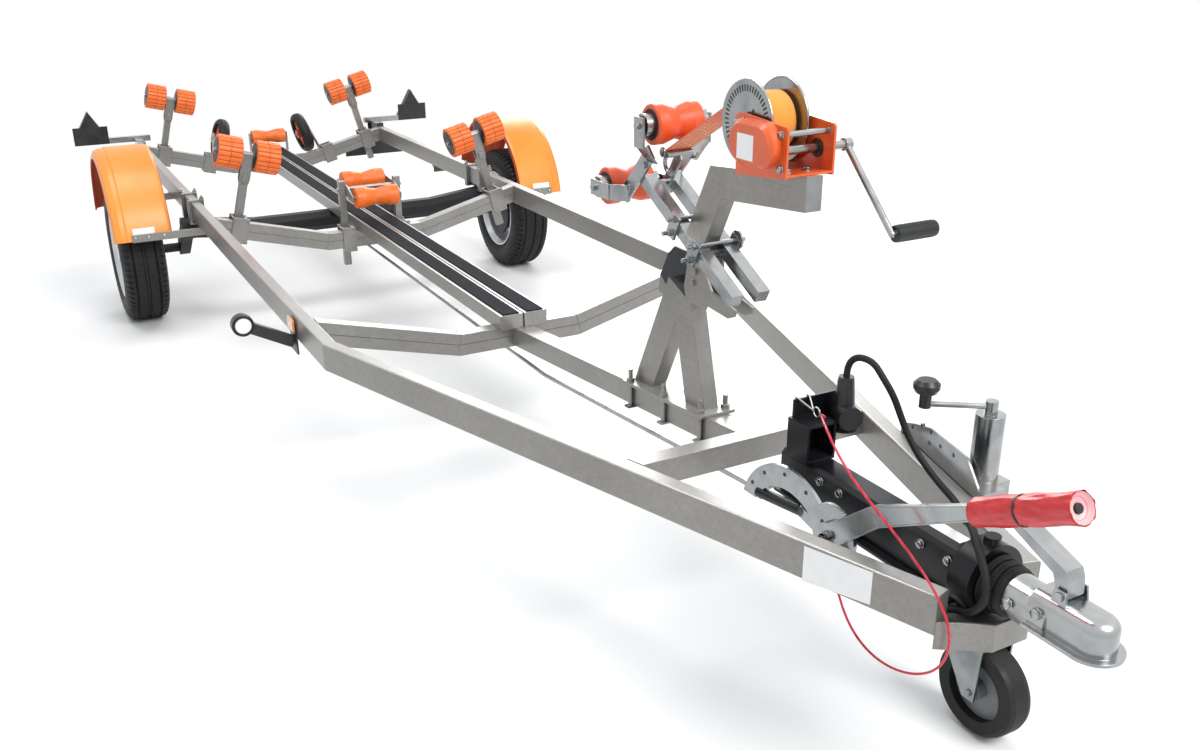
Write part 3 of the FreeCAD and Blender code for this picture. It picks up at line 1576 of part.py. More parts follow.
def coupling_lever():
    """Channel handle that rises from its pin and then leans back over the bellows."""
    pin = lever_pivot()
    w = coupling_lever_wall
    base = pivot_bolt_radius * 1.5
    knee = V(pin.x - base, 0, pin.z + coupling_lever_knee)
    tip = V(knee.x - coupling_lever_back, 0, knee.z + coupling_lever_rise)
    outline = [(pin.x - base * 0.85, pin.z - base * 0.2), (pin.x - base * 0.35, pin.z - base * 0.68),
               (pin.x + base * 0.35, pin.z - base * 0.68), (pin.x + base * 0.85, pin.z - base * 0.2),
               (knee.x + base * 1.6, knee.z - base), (knee.x + base, knee.z + base * 0.3),
               (tip.x, tip.z + base * 0.7), (tip.x, tip.z - base * 0.6),
               (knee.x - base, knee.z - base * 0.8)]
    half = coupling_lever_half
    shell = plate_xz(outline, -half, half)
    hollow = plate_xz([(pin.x - base - w, pin.z - base - w), (pin.x + base - w, pin.z - base - w),
                       (knee.x + base - w, knee.z - base), (knee.x + base * 0.4, knee.z + base * 0.3 - w),
                       (tip.x - overrun_cut, tip.z + base * 0.7 - w),
                       (tip.x - overrun_cut, tip.z - base * 2),
                       (knee.x - base - w, knee.z - base * 2)], -half + w, half - w)
    reach = V(0, half + running / 2 + w * 2, 0)
    return fuse([shell.cut(hollow), rod(pin - reach, pin + reach, pivot_bolt_radius)])


# Handbrake

def brake_point(radius, degrees, y):
    angle = math.radians(degrees)
    return V(brake_x + radius * math.cos(angle), y, brake_z + radius * math.sin(angle))


def brake_layer():
    """Inner and outer face of the brake plates, beside the lever."""
    y0 = brake_y + brake_lever_thick / 2 + seat
    return y0, y0 + brake_plate_thick


def brake_crescent():
    """Crescent between two circles, cut off at its foot."""
    y0, y1 = brake_layer()
    outer = rod(V(crescent_x, y0, crescent_z), V(crescent_x, y1, crescent_z), crescent_outer_radius)
    inner = rod(V(crescent_x, y0 - overrun_cut, crescent_z - crescent_drop),
                V(crescent_x, y1 + overrun_cut, crescent_z - crescent_drop), crescent_inner_radius)
    reach = crescent_outer_radius * 2
    below = box(crescent_x - reach, crescent_x + reach, y0 - overrun_cut, y1 + overrun_cut, 0,
                crescent_foot_z)
    return outer.cut(inner).cut(below)


def brake_gear():
    """Crescent, toothed quadrant, spring cylinder, pivot pin and the cross pin for the rod."""
    y0, y1 = brake_layer()
    centre = V(brake_x, y0, brake_z)
    quadrant = rod(centre, V(brake_x, y1, brake_z), brake_quadrant_radius)
    reach = brake_quadrant_radius * 2
    quadrant = quadrant.cut(box(brake_x - reach, brake_x + reach, y0 - overrun_cut, y1 + overrun_cut,
                                0, brake_z - brake_hub_radius))
    spring_y = (y0 + y1) / 2
    rear = V(spring_rear_x, spring_y, spring_rear_z)
    front = V(spring_front_x, spring_y, spring_front_z)
    spring = rod(rear, front, spring_radius)
    half = spring_radius
    links = [plate_xz([(rear.x - half * 2, rear.z - half), (rear.x + half, rear.z - half),
                       (rear.x + half, rear.z + half),
                       (rear.x - half * 2, rear.z + half * 1.5)], y0, y1),
             plate_xz([(front.x - half, front.z - half), (brake_x, brake_z - brake_hub_radius),
                       (brake_x, brake_z),
                       (front.x - half, front.z + half)], y0, y1)]
    post = rod(V(brake_x, y1, brake_z), V(brake_x, -housing_half, brake_z), pivot_bolt_radius * 1.6)
    pin = rod(V(brake_x, brake_y - brake_lever_thick, brake_z), V(brake_x, y1, brake_z), pivot_bolt_radius)
    nut = rod(V(brake_x, brake_y - brake_lever_thick, brake_z),
              V(brake_x, brake_y - brake_lever_thick / 2 - seat, brake_z), pivot_bolt_radius * 1.6)
    cross = rod(V(rear.x - half, y0, rear.z), V(rear.x - half, brake_rod_y + brake_rod_radius, rear.z),
                brake_rod_radius)
    return fuse([quadrant, brake_crescent(), spring, post, pin, nut, cross] + links)


def brake_rod():
    """Round rod from the axle to under the drawbar and up to the brake gear's cross pin."""
    start = V(axle_x + axle_tube_depth / 2 + seat, brake_rod_y, brake_rod_z)
    low = V(brake_rod_low_x, brake_rod_y, brake_rod_low_z)
    high = V(brake_rod_end_x, brake_rod_y, brake_rod_end_z)
    pin = V(spring_rear_x - spring_radius, brake_rod_y, spring_rear_z)
    way = pin - high
    way.normalize()
    return round_run([start, low, high, pin - way * (brake_rod_radius + seat)], brake_rod_radius)


def round_run(points, radius):
    """Rod of straight runs with a ball at each joint."""
    pieces = [rod(points[i], points[i + 1], radius) for i in range(len(points) - 1)]
    pieces += [Part.makeSphere(radius, p) for p in points[1:-1]]
    return fuse(pieces)


def handbrake_lever():
    """Wide root plate round the pin, a bent and narrowing channel, and the round grip."""
    y0 = brake_y - brake_lever_thick / 2
    y1 = brake_y + brake_lever_thick / 2
    hub = rod(V(brake_x, y0, brake_z), V(brake_x, y1, brake_z), brake_hub_radius)
    bend = brake_point(brake_lever_bend, brake_lever_bend_angle, y0)
    end = brake_point(brake_lever_length, brake_lever_angle, y0)
    root = V(brake_x, y0, brake_z)
    first = (bend - root).cross(V(0, 1, 0))
    first.normalize()
    second = (end - bend).cross(V(0, 1, 0))
    second.normalize()
    across = first + second
    across.normalize()
    corners = [root - first * (brake_lever_root_width / 2), bend - across * (brake_lever_bend_width / 2),
               end - second * (brake_lever_tip_width / 2), end + second * (brake_lever_tip_width / 2),
               bend + across * (brake_lever_bend_width / 2), root + first * (brake_lever_root_width / 2)]
    arm = prism(corners, V(0, brake_lever_thick, 0))
    way = end - bend
    way.normalize()
    middle = V(0, brake_lever_thick / 2, 0)
    grip = rod(end - way * brake_grip_length + middle, end + way * brake_lever_tip_width + middle,
               brake_grip_radius)
    reach = V(0, brake_lever_thick * 2, 0)
    bore = rod(root - reach, root + reach, pivot_bolt_radius + fit)
    return fuse([hub, arm, grip]).cut(bore)


def plug_holder():
    """Folded block on the housing, a cross plate on it and a cup for the plug at the plate's left end."""
    x0 = holder_rear_x
    x1 = x0 + holder_depth
    t = holder_wall
    low = housing_top
    block = box(x0, x1, holder_right_y, holder_left_y, low, holder_block_top)
    block = block.cut(box(x0 + t, x1 + overrun_cut, holder_right_y + t, holder_left_y - t, low + t,
                          holder_block_top - t))
    plate = box(holder_plate_x, holder_plate_x + t, holder_plate_right_y, holder_plate_left_y,
                holder_plate_low - t, holder_plate_top)
    neck = box(holder_plate_x, holder_plate_x + t, holder_left_y - t, holder_plate_left_y, holder_cup_low,
               holder_plate_low)
    shelf = box(holder_plate_x, holder_cup_x, holder_cup_y - holder_cup_radius,
                holder_cup_y + holder_cup_radius,
                holder_cup_low, holder_cup_low + t)
    cup = rod(V(holder_cup_x, holder_cup_y, holder_cup_low),
              V(holder_cup_x, holder_cup_y, holder_cup_low + t), holder_cup_radius)
    return fuse([block, plate, neck, shelf, cup])


# Cords

def cord_edges(points, name):
    """Straight runs joined by tangent arcs, each as large as its two runs allow."""
    edges = []
    start = points[0]
    radii = []
    for before, corner, after in zip(points, points[1:], points[2:]):
        into = corner - before
        away = after - corner
        shorter = min(into.Length, away.Length)
        into.normalize()
        away.normalize()
        half_turn = math.acos(max(-1, min(1, into.dot(away)))) / 2
        reach = shorter * cord_arc_share
        radius = reach / math.tan(half_turn)
        radii.append(round(radius))
        arc_start = corner - into * reach
        arc_end = corner + away * reach
        inward = away - into
        inward.normalize()
        middle = corner + inward * (radius / math.cos(half_turn) - radius)
        edges.append(Part.LineSegment(start, arc_start).toShape())
        edges.append(Part.Arc(arc_start, middle, arc_end).toShape())
        start = arc_end
    edges.append(Part.LineSegment(start, points[-1]).toShape())
    print(name, "radii", radii)
    return edges


def cord_tube(points, radius, name):
    path = Part.Wire(cord_edges(points, name))
    way = points[1] - points[0]
    ring = Part.Wire([Part.Circle(points[0], way, radius).toShape()])
    tube = path.makePipeShell([ring], True, False)
    whole = path.Length * math.pi * radius ** 2
    print(name, "length", round(path.Length), "volume over section times length",
          round(tube.Volume / whole, 4))
    return tube


def plug_top():
    return V(holder_cup_x, holder_cup_y, holder_cup_low + holder_wall + plug_length)


def plug():
    """Parked plug: a round body that narrows to the lead, with its cap's ring at the front."""
    foot = V(holder_cup_x, holder_cup_y, holder_cup_low + holder_wall)
    r = plug_radius
    long = plug_length
    body = turned([(0, 0), (r, 0), (r, long * 0.34), (r * 0.84, long * 0.42), (r * 0.68, long * 0.9),
                   (r * 0.62, long), (0, long)], foot, V(0, 0, 1))
    ring_z = foot.z + r * 1.2
    ring = rod(V(foot.x, foot.y, ring_z), V(foot.x + r * 1.5, foot.y - r * 0.5, ring_z), r)
    return fuse([body, ring])


def lead_points():
    """Route of the lead: out of the plug, along the left rail, over the collar and into the right rail."""
    gland = lead_gland_place()
    before_gland = gland + lead_gland_way() * (lead_radius * 4)
    return [plug_top(), V(3640, 66, 779), V(3660, 72, 803), V(3697, 83, 801), V(3722, 90, 773),
            V(3738, 108, 735),
            V(3750, 122, 690), V(3768, 133, 645), V(3800, 146, 602), V(3840, 153, 573), V(3886, 146, 562),
            V(3930, 124, 562), V(3968, 92, 572), V(4004, 56, 592), V(4040, 24, 614), V(4078, -6, 630),
            V(4114, -32, 626), V(4146, -50, 610), V(4168, -58, 588), V(4176, -61, 560), V(4168, -61, 534),
            V(4148, -67, 508), before_gland, gland]


def lead_gland_foot(share):
    """Place on the right rail's inner face, under the gland, by its share of the gland's length."""
    x = rail_front_x - lead_gland_back + share * lead_gland_size
    return V(x, seat - rail_inner(x), rail_bottom + lead_gland_size)


def lead_gland_way():
    """Direction that the gland's slanted face looks in."""
    along = lead_gland_foot(1) - lead_gland_top()
    return V(-along.y, along.x, 0).normalize()


def lead_gland_top():
    return lead_gland_foot(0) + V(0, lead_gland_size, 0)


def lead_gland_place():
    return (lead_gland_foot(1) + lead_gland_top()) / 2


def lead_gland():
    """Wedge of rubber on the right rail's inner face, where the lead goes in aslant."""
    corners = [lead_gland_foot(0), lead_gland_foot(1), lead_gland_top()]
    half = lead_radius * 1.5
    z = lead_gland_place().z
    return plate_xy([(c.x, c.y) for c in corners], z - half, z + half)


def cable_points():
    """Route of the breakaway cable: from its ring, past the brake lever and back up to its pin."""
    ring = cable_ring_place()
    start = ring + V(cable_ring_radius + hook_wire_radius + seat, 0, 0)
    end = cable_end_place()
    return [start, start + V(cable_ring_radius * 2, 0, 0), V(3692, -40, 706), V(3737, -73, 722),
            V(3787, -104, 727), V(3843, -128, 714), V(3900, -142, 693), V(3957, -147, 669),
            V(4014, -144, 640), V(4066, -137, 607), V(4112, -129, 570), V(4148, -124, 530),
            V(4164, -121, 484), V(4156, -118, 434), V(4128, -117, 392), V(4086, -118, 361),
            V(4036, -119, 342), V(3984, -120, 338), V(3936, -121, 352), V(3899, -121, 382),
            V(3874, -121, 420), V(3852, -121, 456),
            V(end.x + cable_ring_radius, end.y, end.z - cable_ring_radius * 1.5), end]


def cable_ring_place():
    return V(holder_rear_x + holder_depth * 0.8, cable_ring_y, holder_plate_top - cable_ring_radius * 1.6)


def cable_end_place():
    """End of the cable, on the outer end of the brake lever's pin."""
    return V(brake_x, brake_y - brake_lever_thick - cable_radius - seat, brake_z)


def cable_hook():
    """Ring and bent wire that hang the cable on the top edge of the holder's cross plate."""
    ring_at = cable_ring_place()
    ring = Part.makeTorus(cable_ring_radius, hook_wire_radius, ring_at, V(0, 1, 0))
    top = holder_plate_top + hook_wire_radius + seat
    back_x = holder_plate_x - hook_wire_radius - seat
    pieces = [ring]
    for drop, side in ((0, -1), (cable_ring_radius, 1)):
        start = ring_at + V(-cable_ring_radius, 0, 0)
        over_y = ring_at.y + side * cable_ring_radius * 1.5
        route = [start, V(holder_plate_x + holder_wall, over_y, top), V(back_x, over_y, top),
                 V(back_x, over_y, top - cable_ring_radius)]
        pieces.append(round_run(route, hook_wire_radius))
    return fuse(pieces)


# Jockey wheel

def jockey_post():
    """Outer tube with its cap, winding crank and the clamp on the left rail."""
    foot = V(jockey_x, jockey_y, jockey_tube_bottom)
    head = V(jockey_x, jockey_y, jockey_tube_top)
    tube = rod(foot, head, jockey_tube_radius)
    cap = rod(head, head + V(0, 0, jockey_cap_height), jockey_cap_radius)
    crank_z0 = jockey_tube_top + jockey_cap_height * 0.55
    angle = math.radians(jockey_crank_angle)
    crank_root = V(jockey_x, jockey_y, crank_z0)
    crank_tip = crank_root + V(jockey_crank_length * math.cos(angle),
                               jockey_crank_length * math.sin(angle), 0)
    crank = rod(crank_root, crank_tip, jockey_crank_radius)
    neck = rod(crank_tip - V(0, 0, jockey_crank_radius * 1.2),
               crank_tip + V(0, 0, jockey_knob_height * 0.6), jockey_knob_radius * 0.45)
    knob = turned([(0, 0), (jockey_knob_radius * 0.8, 0), (jockey_knob_radius, jockey_knob_radius * 0.35),
                   (jockey_knob_radius, jockey_knob_radius * 0.7),
                   (jockey_knob_radius * 0.7, jockey_knob_radius),
                   (0, jockey_knob_radius)], crank_tip + V(0, 0, jockey_knob_height * 0.48), V(0, 0, 1))
    body = fuse([tube, cap, crank, neck, knob] + jockey_clamp())
    bore = rod(foot - V(0, 0, overrun_cut), foot + V(0, 0, jockey_stem_in + seat), jockey_stem_radius + fit)
    return body.cut(bore)


def jockey_clamp():
    """Clamp block round the tube and a folded plate along the rail's outer face."""
    r = jockey_tube_radius + jockey_clamp_wall
    low = jockey_clamp_low
    high = jockey_clamp_high
    block = box(jockey_x - r, jockey_x + r, jockey_y - r, jockey_y + r, low, high)
    front = jockey_clamp_front_x
    arm = plate_xy([(jockey_x, rail_outer(jockey_x)), (front, rail_outer(front)), (front, jockey_y),
                    (jockey_x, jockey_y)], low, high)
    x0 = jockey_plate_rear_x
    x1 = jockey_x + r
    wall = jockey_plate_thick
    long = x1 - x0
    tall = jockey_plate_high_z - jockey_plate_low_z
    corner_shares = ((0.0, 0.0), (1.0, 0.0), (1.0, 0.76), (0.84, 1.0), (0.38, 0.97), (0.18, 0.86),
                     (0.0, 0.73))
    outline = [(x0 + a * long, jockey_plate_low_z + b * tall) for a, b in corner_shares]
    turn = math.atan(rail_slope)
    push = V(math.sin(turn), math.cos(turn), 0) * wall
    plate = prism([V(x, rail_outer(x), z) for x, z in outline], push)
    fold = box(x1 - wall, x1, rail_outer(x1 - wall), rail_outer(x1) + jockey_plate_fold, rail_bottom, high)
    return [block.cut(rail_space()), arm.cut(rail_space()), plate, fold]


def rail_space():
    """Space that the left rail takes near the jockey wheel."""
    x0 = jockey_x - rail_height * 2
    x1 = jockey_x + rail_height * 2
    return plate_xy([(x0, 0), (x0, rail_outer(x0)), (x1, rail_outer(x1)), (x1, 0)], 0, rail_top * 2)


def jockey_fork():
    top = jockey_wheel_radius * 2 + jockey_fork_gap
    half = jockey_wheel_width / 2 + jockey_fork_gap
    wall = jockey_fork_wall
    x = jockey_x
    axle_at = x + jockey_trail
    stem_top = jockey_tube_bottom + jockey_stem_in
    stem = rod(V(x, jockey_y, top), V(x, jockey_y, stem_top), jockey_stem_radius)
    crown = box(x - jockey_stem_radius, axle_at + jockey_stem_radius, jockey_y - half - wall,
                jockey_y + half + wall, top, top + wall)
    pieces = [stem, crown]
    h = jockey_axle_radius * 2
    for side in (-1, 1):
        y0 = jockey_y + side * half
        outline = [(x - jockey_stem_radius, top + wall), (axle_at + jockey_stem_radius, top + wall),
                   (axle_at + h, jockey_wheel_radius - h), (axle_at - h, jockey_wheel_radius - h)]
        pieces.append(plate_xz(outline, y0, y0 + side * wall))
    axle = V(axle_at, jockey_y, jockey_wheel_radius)
    pieces.append(rod(axle - V(0, half + wall * 2, 0), axle + V(0, half + wall * 2, 0), jockey_axle_radius))
    return fuse(pieces)


def jockey_wheel():
    half = jockey_wheel_width / 2
    r = jockey_wheel_radius
    bore = jockey_axle_radius + fit
    hub = jockey_axle_radius * 2.6
    deep = r * 0.66
    web = half * 0.3
    profile = [(bore, -half), (hub, -half), (hub, -web), (deep, -web), (deep, -half * 0.86),
               (r * 0.9, -half),
               (r * 0.97, -half * 0.8), (r, -half * 0.5), (r, half * 0.5), (r * 0.97, half * 0.8),
               (r * 0.9, half),
               (deep, half * 0.86), (deep, web), (hub, web), (hub, half), (bore, half)]
    return turned(profile, V(jockey_x + jockey_trail, jockey_y, jockey_wheel_radius), V(0, 1, 0))


# Lamps

def lamp_x():
    return rail_rear_x - lamp_back


def tail_lamp_sets():
    """Square arms out to the rear lamps with their boards and reflector backs."""
    sets = []
    size = lamp_arm_size
    x = lamp_x()
    for side in (-1, 1):
        arm = box(x - size, x, side * (rail_half - rail_width * 2), side * (lamp_y + lamp_width * 0.3),
                  lamp_arm_z, lamp_arm_z + size)
        strut = box(x - size, rail_rear_x, side * (rail_half - rail_width), side * rail_half,
                    rail_top - size, lamp_arm_z + overrun_cut * 2)
        y0 = side * (lamp_y - lamp_width / 2)
        y1 = side * (lamp_y + lamp_width / 2)
        board = box(x, x + lamp_board_thick, y0, y1, lamp_arm_z, lamp_bottom_z + lamp_height * 0.45)
        lamp = plate_yz([(y0, lamp_bottom_z), (y1, lamp_bottom_z),
                         (side * lamp_y, lamp_bottom_z + lamp_height)], x - lamp_depth, x)
        lamp = lamp.cut(box(x - size - seat, x + overrun_cut, y0 * 2, 0, lamp_arm_z - overrun_cut,
                            lamp_arm_z + size))
        sets.append(fuse([arm, strut, board, lamp]))
    return Part.makeCompound(sets + [plate_carrier()])


def plate_carrier():
    """Number plate carrier that hangs from the left lamp arm."""
    x = lamp_x() - lamp_arm_size
    y0 = plate_centre_y - plate_width / 2
    y1 = plate_centre_y + plate_width / 2
    panel = box(x - lamp_board_thick, x - seat, y0, y1, plate_bottom_z, plate_bottom_z + plate_height)
    hanger_half = lamp_arm_size
    hanger = box(x - lamp_board_thick, x - seat, plate_centre_y - hanger_half, plate_centre_y + hanger_half,
                 plate_bottom_z, lamp_arm_z + lamp_arm_size)
    return fuse([panel, hanger])


def marker_lamp_set(side):
    """Bracket under the rail, swept-back rubber arm and round lamp."""
    w = marker_bracket_width
    t = marker_bracket_thick
    y0 = side * rail_half
    bracket = box(marker_x, marker_x + w, y0, y0 + side * t, rail_bottom - w * 0.66, rail_bottom + w * 0.42)
    root = V(marker_x + w / 2, y0 + side * t, rail_bottom - w * 0.2)
    tip = V(marker_x + w * 0.4, side * (rail_half + marker_out), root.z + marker_rise)
    arm = bar(root, tip, marker_arm_size * 0.6, marker_arm_size, V(0, 0, 1))
    arm = arm.cut(box(marker_x - w, marker_x + w * 2, 0, y0, 0, rail_top))
    lamp = rod(tip - V(marker_lamp_thick / 2, 0, 0), tip + V(marker_lamp_thick / 2, 0, 0),
               marker_lamp_radius)
    return fuse([bracket, arm, lamp])


def main():
    save("side_rail_right", side_rail(-1))
    save("side_rail_left", side_rail(1))
    save("cross_beam_front", cross_beam(cross_front_x))
    save("cross_beam_mid", cross_beam(cross_mid_x))
    save("cross_beam_rear", cross_beam(cross_rear_x))
    save("centre_beam", centre_beam())
    save("drawbar_members", drawbar_members())
    save("keel_planks", keel_planks())
    save("plank_treads", plank_treads())
    save("torsion_axle", torsion_axle())
    save("axle_clamps", axle_clamps())
    save("mudguard_stays", mudguard_stays())
    save("roller_posts", roller_posts())
    for word, side in (("right", -1), ("left", 1)):
        save("tyre_" + word, tyre(side))
        save("wheel_" + word, wheel(side))
        save("mudguard_" + word, mudguard(side))
        save("guide_wheel_" + word, guide_wheel(side))
        for place, x in (("mid", cross_mid_x), ("rear", cross_rear_x)):
            save("yoke_" + place + "_" + word, yoke(side, x))
            save("roller_pair_" + place + "_" + word, roller_pair(side, x))
    save("rocker_uprights", rocker_uprights())
    save("rocker_frame", rocker_frame())
    save("rocker_roller_front", rocker_roller(1))
    save("rocker_roller_rear", rocker_roller(-1))
    save("rear_roller_brackets", rear_roller_brackets())
    save("rear_keel_roller", rear_keel_roller())
    save("winch_stand", winch_stand())
    save("winch_arm", winch_arm())
    save("slider_clamps", slider_clamps())
    save("bow_stop_frame", bow_stop_frame())
    save("bow_roller_upper", bow_roller(bow_upper_x, bow_upper_z))
    save("bow_roller_lower", bow_roller(bow_lower_x, bow_lower_z))
    save("winch_frame", winch_frame())
    save("winch_drum", winch_drum())
    save("winch_crank", winch_crank())
    save("winch_strap", winch_strap())
    save("overrun_housing", overrun_housing())
    save("coupling_head", coupling_head())
    save("coupling_lever", coupling_lever())
    save("brake_gear", Part.makeCompound([brake_gear(), brake_rod()]))
    save("handbrake_lever", handbrake_lever())
    save("plug_holder", plug_holder())
    save("plug", plug())
    save("lead_cord", cord_tube(lead_points(), lead_radius, "lead_cord"))
    save("cable_hook", cable_hook())
    save("breakaway_cable", cord_tube(cable_points(), cable_radius, "breakaway_cable"))
    save("jockey_post", jockey_post())
    save("jockey_fork", jockey_fork())
    save("jockey_wheel", jockey_wheel())
    save("tail_lamp_sets", tail_lamp_sets())
    save("marker_lamps", Part.makeCompound([marker_lamp_set(-1), marker_lamp_set(1)]))


main()
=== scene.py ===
from math import atan, cos, exp, hypot, pi, radians, sin, sqrt, tau

import bpy
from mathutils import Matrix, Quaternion, Vector


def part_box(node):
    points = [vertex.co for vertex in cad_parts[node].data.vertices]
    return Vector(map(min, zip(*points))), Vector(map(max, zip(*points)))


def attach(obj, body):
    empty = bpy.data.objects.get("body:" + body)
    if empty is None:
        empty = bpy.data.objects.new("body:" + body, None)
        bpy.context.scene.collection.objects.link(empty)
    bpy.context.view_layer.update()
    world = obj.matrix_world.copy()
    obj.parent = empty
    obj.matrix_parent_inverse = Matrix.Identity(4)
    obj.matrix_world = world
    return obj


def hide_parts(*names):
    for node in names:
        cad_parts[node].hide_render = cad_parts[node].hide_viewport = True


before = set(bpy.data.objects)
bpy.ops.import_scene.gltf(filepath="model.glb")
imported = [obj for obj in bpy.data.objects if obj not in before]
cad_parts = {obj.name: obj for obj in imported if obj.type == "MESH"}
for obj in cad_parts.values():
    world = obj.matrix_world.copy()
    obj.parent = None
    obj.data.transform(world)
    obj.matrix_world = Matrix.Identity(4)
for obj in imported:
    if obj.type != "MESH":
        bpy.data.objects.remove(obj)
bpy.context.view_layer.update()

# Boat trailer on its jockey wheel. Places below are in mm from the middle of the wheel axle, on the
# ground: +X forward to the coupling, +Y the trailer's left, +Z up. mm() turns them into the frame's metres.
MM = 0.001
tyre_low, tyre_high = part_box("tyre_right")
AXLE_X = (tyre_low[0] + tyre_high[0]) / 2
# Mudguards: height of the arc's centre, and radii just outside the inner and the outer face
GUARD_Z, GUARD_INSIDE, GUARD_OUTSIDE = 365, 401, 405.4
# Axis of the brake lever
LEVER_X, LEVER_Z = 3814, 506


def mm(x, y, z):
    return Vector((AXLE_X + x * MM, y * MM, z * MM))


def show(made):
    bpy.context.scene.collection.objects.link(made)
    return made


def span(node):
    """Lowest and highest corner of a node, in mm from the axle."""
    low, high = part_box(node)
    shift = Vector((AXLE_X, 0, 0))
    return (Vector(low) - shift) / MM, (Vector(high) - shift) / MM


# Colour and node helpers

def linear(code):
    """sRGB hex to linear RGBA."""
    parts = [int(code[i:i + 2], 16) / 255 for i in (1, 3, 5)]
    return [p / 12.92 if p <= 0.04045 else ((p + 0.055) / 1.055) ** 2.4 for p in parts] + [1.0]


def add(tree, kind, settings=(), **sockets):
    """Add a node, set its properties, and fill or link its sockets; in_0 is the first socket."""
    made = tree.nodes.new("ShaderNode" + kind)
    for name, value in dict(settings).items():
        setattr(made, name, value)
    for name, value in sockets.items():
        key = int(name[3:]) if name.startswith("in_") else name.replace("_", " ")
        if isinstance(value, bpy.types.NodeSocket):
            tree.links.new(value, made.inputs[key])
        else:
            made.inputs[key].default_value = value
    return made


def new_material(name):
    material = bpy.data.materials.new(name)
    material.use_nodes = True
    tree = material.node_tree
    tree.nodes.clear()
    return material, tree, add(tree, "TexCoord").outputs["Object"]


def finish_material(material, tree, **sockets):
    shader = add(tree, "BsdfPrincipled", **sockets)
    add(tree, "OutputMaterial", Surface=shader.outputs[0])
    return material


def stretched(tree, vector, scale):
    return add(tree, "Mapping", {"vector_type": "POINT"}, Vector=vector, Scale=scale).outputs[0]


def per_metre(size_mm):
    """Pattern scale that gives one cell or wave of this size."""
    return 1 / (size_mm * MM)


def noise(tree, vector, size_mm, detail=3.0, roughness=0.5):
    return add(tree, "TexNoise", Vector=vector, Scale=per_metre(size_mm), Detail=detail,
               Roughness=roughness).outputs["Fac"]


def waves_of(size_mm, diagonal=False):
    """Wave scale that repeats at this size, across or on the diagonal."""
    return tau * per_metre(size_mm) / (10 if diagonal else 20)


def ramp(tree, value, stops):
    """Colour or grey ramp from (place, hex) stops."""
    made = add(tree, "ValToRGB", Fac=value)
    band = made.color_ramp
    while len(band.elements) < len(stops):
        band.elements.new(0.5)
    for element, (at, code) in zip(band.elements, stops):
        element.position = at
        element.color = linear(code)
    return made.outputs["Color"]


def between(tree, value, low, high, out_low=0.0, out_high=1.0):
    made = add(tree, "MapRange", {"clamp": True}, Value=value)
    for key, number in (("From Min", low), ("From Max", high), ("To Min", out_low), ("To Max", out_high)):
        made.inputs[key].default_value = number
    return made.outputs[0]


def mixed(tree, share, first, second):
    return add(tree, "Mix", {"data_type": "RGBA"}, Factor=share, in_6=first, in_7=second).outputs[2]


def maths(tree, operation, first, second=0.0):
    return add(tree, "Math", {"operation": operation}, in_0=first, in_1=second).outputs[0]


def vector_maths(tree, operation, first, second=(0, 0, 0)):
    """Outputs of a vector operation: a vector, and a value for a length or a dot product."""
    return add(tree, "VectorMath", {"operation": operation}, in_0=first, in_1=second).outputs


def upward(tree):
    """How far a face looks up, from 0 on the sides to 1 on the tops."""
    normal = add(tree, "NewGeometry").outputs["Normal"]
    return between(tree, add(tree, "SeparateXYZ", Vector=normal).outputs["Z"], 0.1, 0.9)


def soft_edges(tree, radius_mm):
    """Normal with rounded edges, as folding, casting or coating leaves them."""
    return add(tree, "Bevel", {"samples": 4}, Radius=radius_mm * MM).outputs[0]


def bumped(tree, height, depth_mm, strength=1.0, normal=None):
    made = add(tree, "Bump", Height=height, Distance=depth_mm * MM, Strength=strength)
    if normal is not None:
        tree.links.new(normal, made.inputs["Normal"])
    return made.outputs[0]


# Materials

def galvanised_steel():
    """Hot-dip galvanised tube: satin warm grey with fine marks along it; tops painted paler and sides
    darker, as painted light from above.
    """
    material, tree, place = new_material("hot_dip_galvanised_steel")
    crystals = add(tree, "TexVoronoi", Vector=place, Scale=per_metre(12), Randomness=1.0).outputs["Color"]
    crystal_grey = add(tree, "RGBToBW", Color=crystals).outputs[0]
    clouds = noise(tree, place, 240, 3)
    # Rolling marks are 0.2 mm apart on the real tube, drawn 2.5 mm apart so that they show
    marks = noise(tree, stretched(tree, place, (0.015, 1, 1)), 2.5, 2)
    soft = maths(tree, "ADD", maths(tree, "MULTIPLY", clouds, 0.4), maths(tree, "MULTIPLY", marks, 0.4))
    tone = maths(tree, "ADD", maths(tree, "MULTIPLY", crystal_grey, 0.12), soft)
    # Painted light: the sides' ramp is painted shade, the tops' ramp painted light, mixed by how far each
    # face looks up.
    sides = ramp(tree, tone, ((0.25, "#7B7975"), (0.5, "#8D8B87"), (0.75, "#9E9C98")))
    painted_lit_tops = ramp(tree, tone, ((0.25, "#A09F9C"), (0.5, "#B2B1AE"), (0.75, "#C1C0BD")))
    colour = mixed(tree, upward(tree), sides, painted_lit_tops)
    return finish_material(material, tree, Base_Color=colour, Metallic=0.6,
                           Roughness=between(tree, tone, 0.25, 0.7, 0.28, 0.4),
                           Normal=bumped(tree, marks, 0.05, 0.4, soft_edges(tree, 3)))


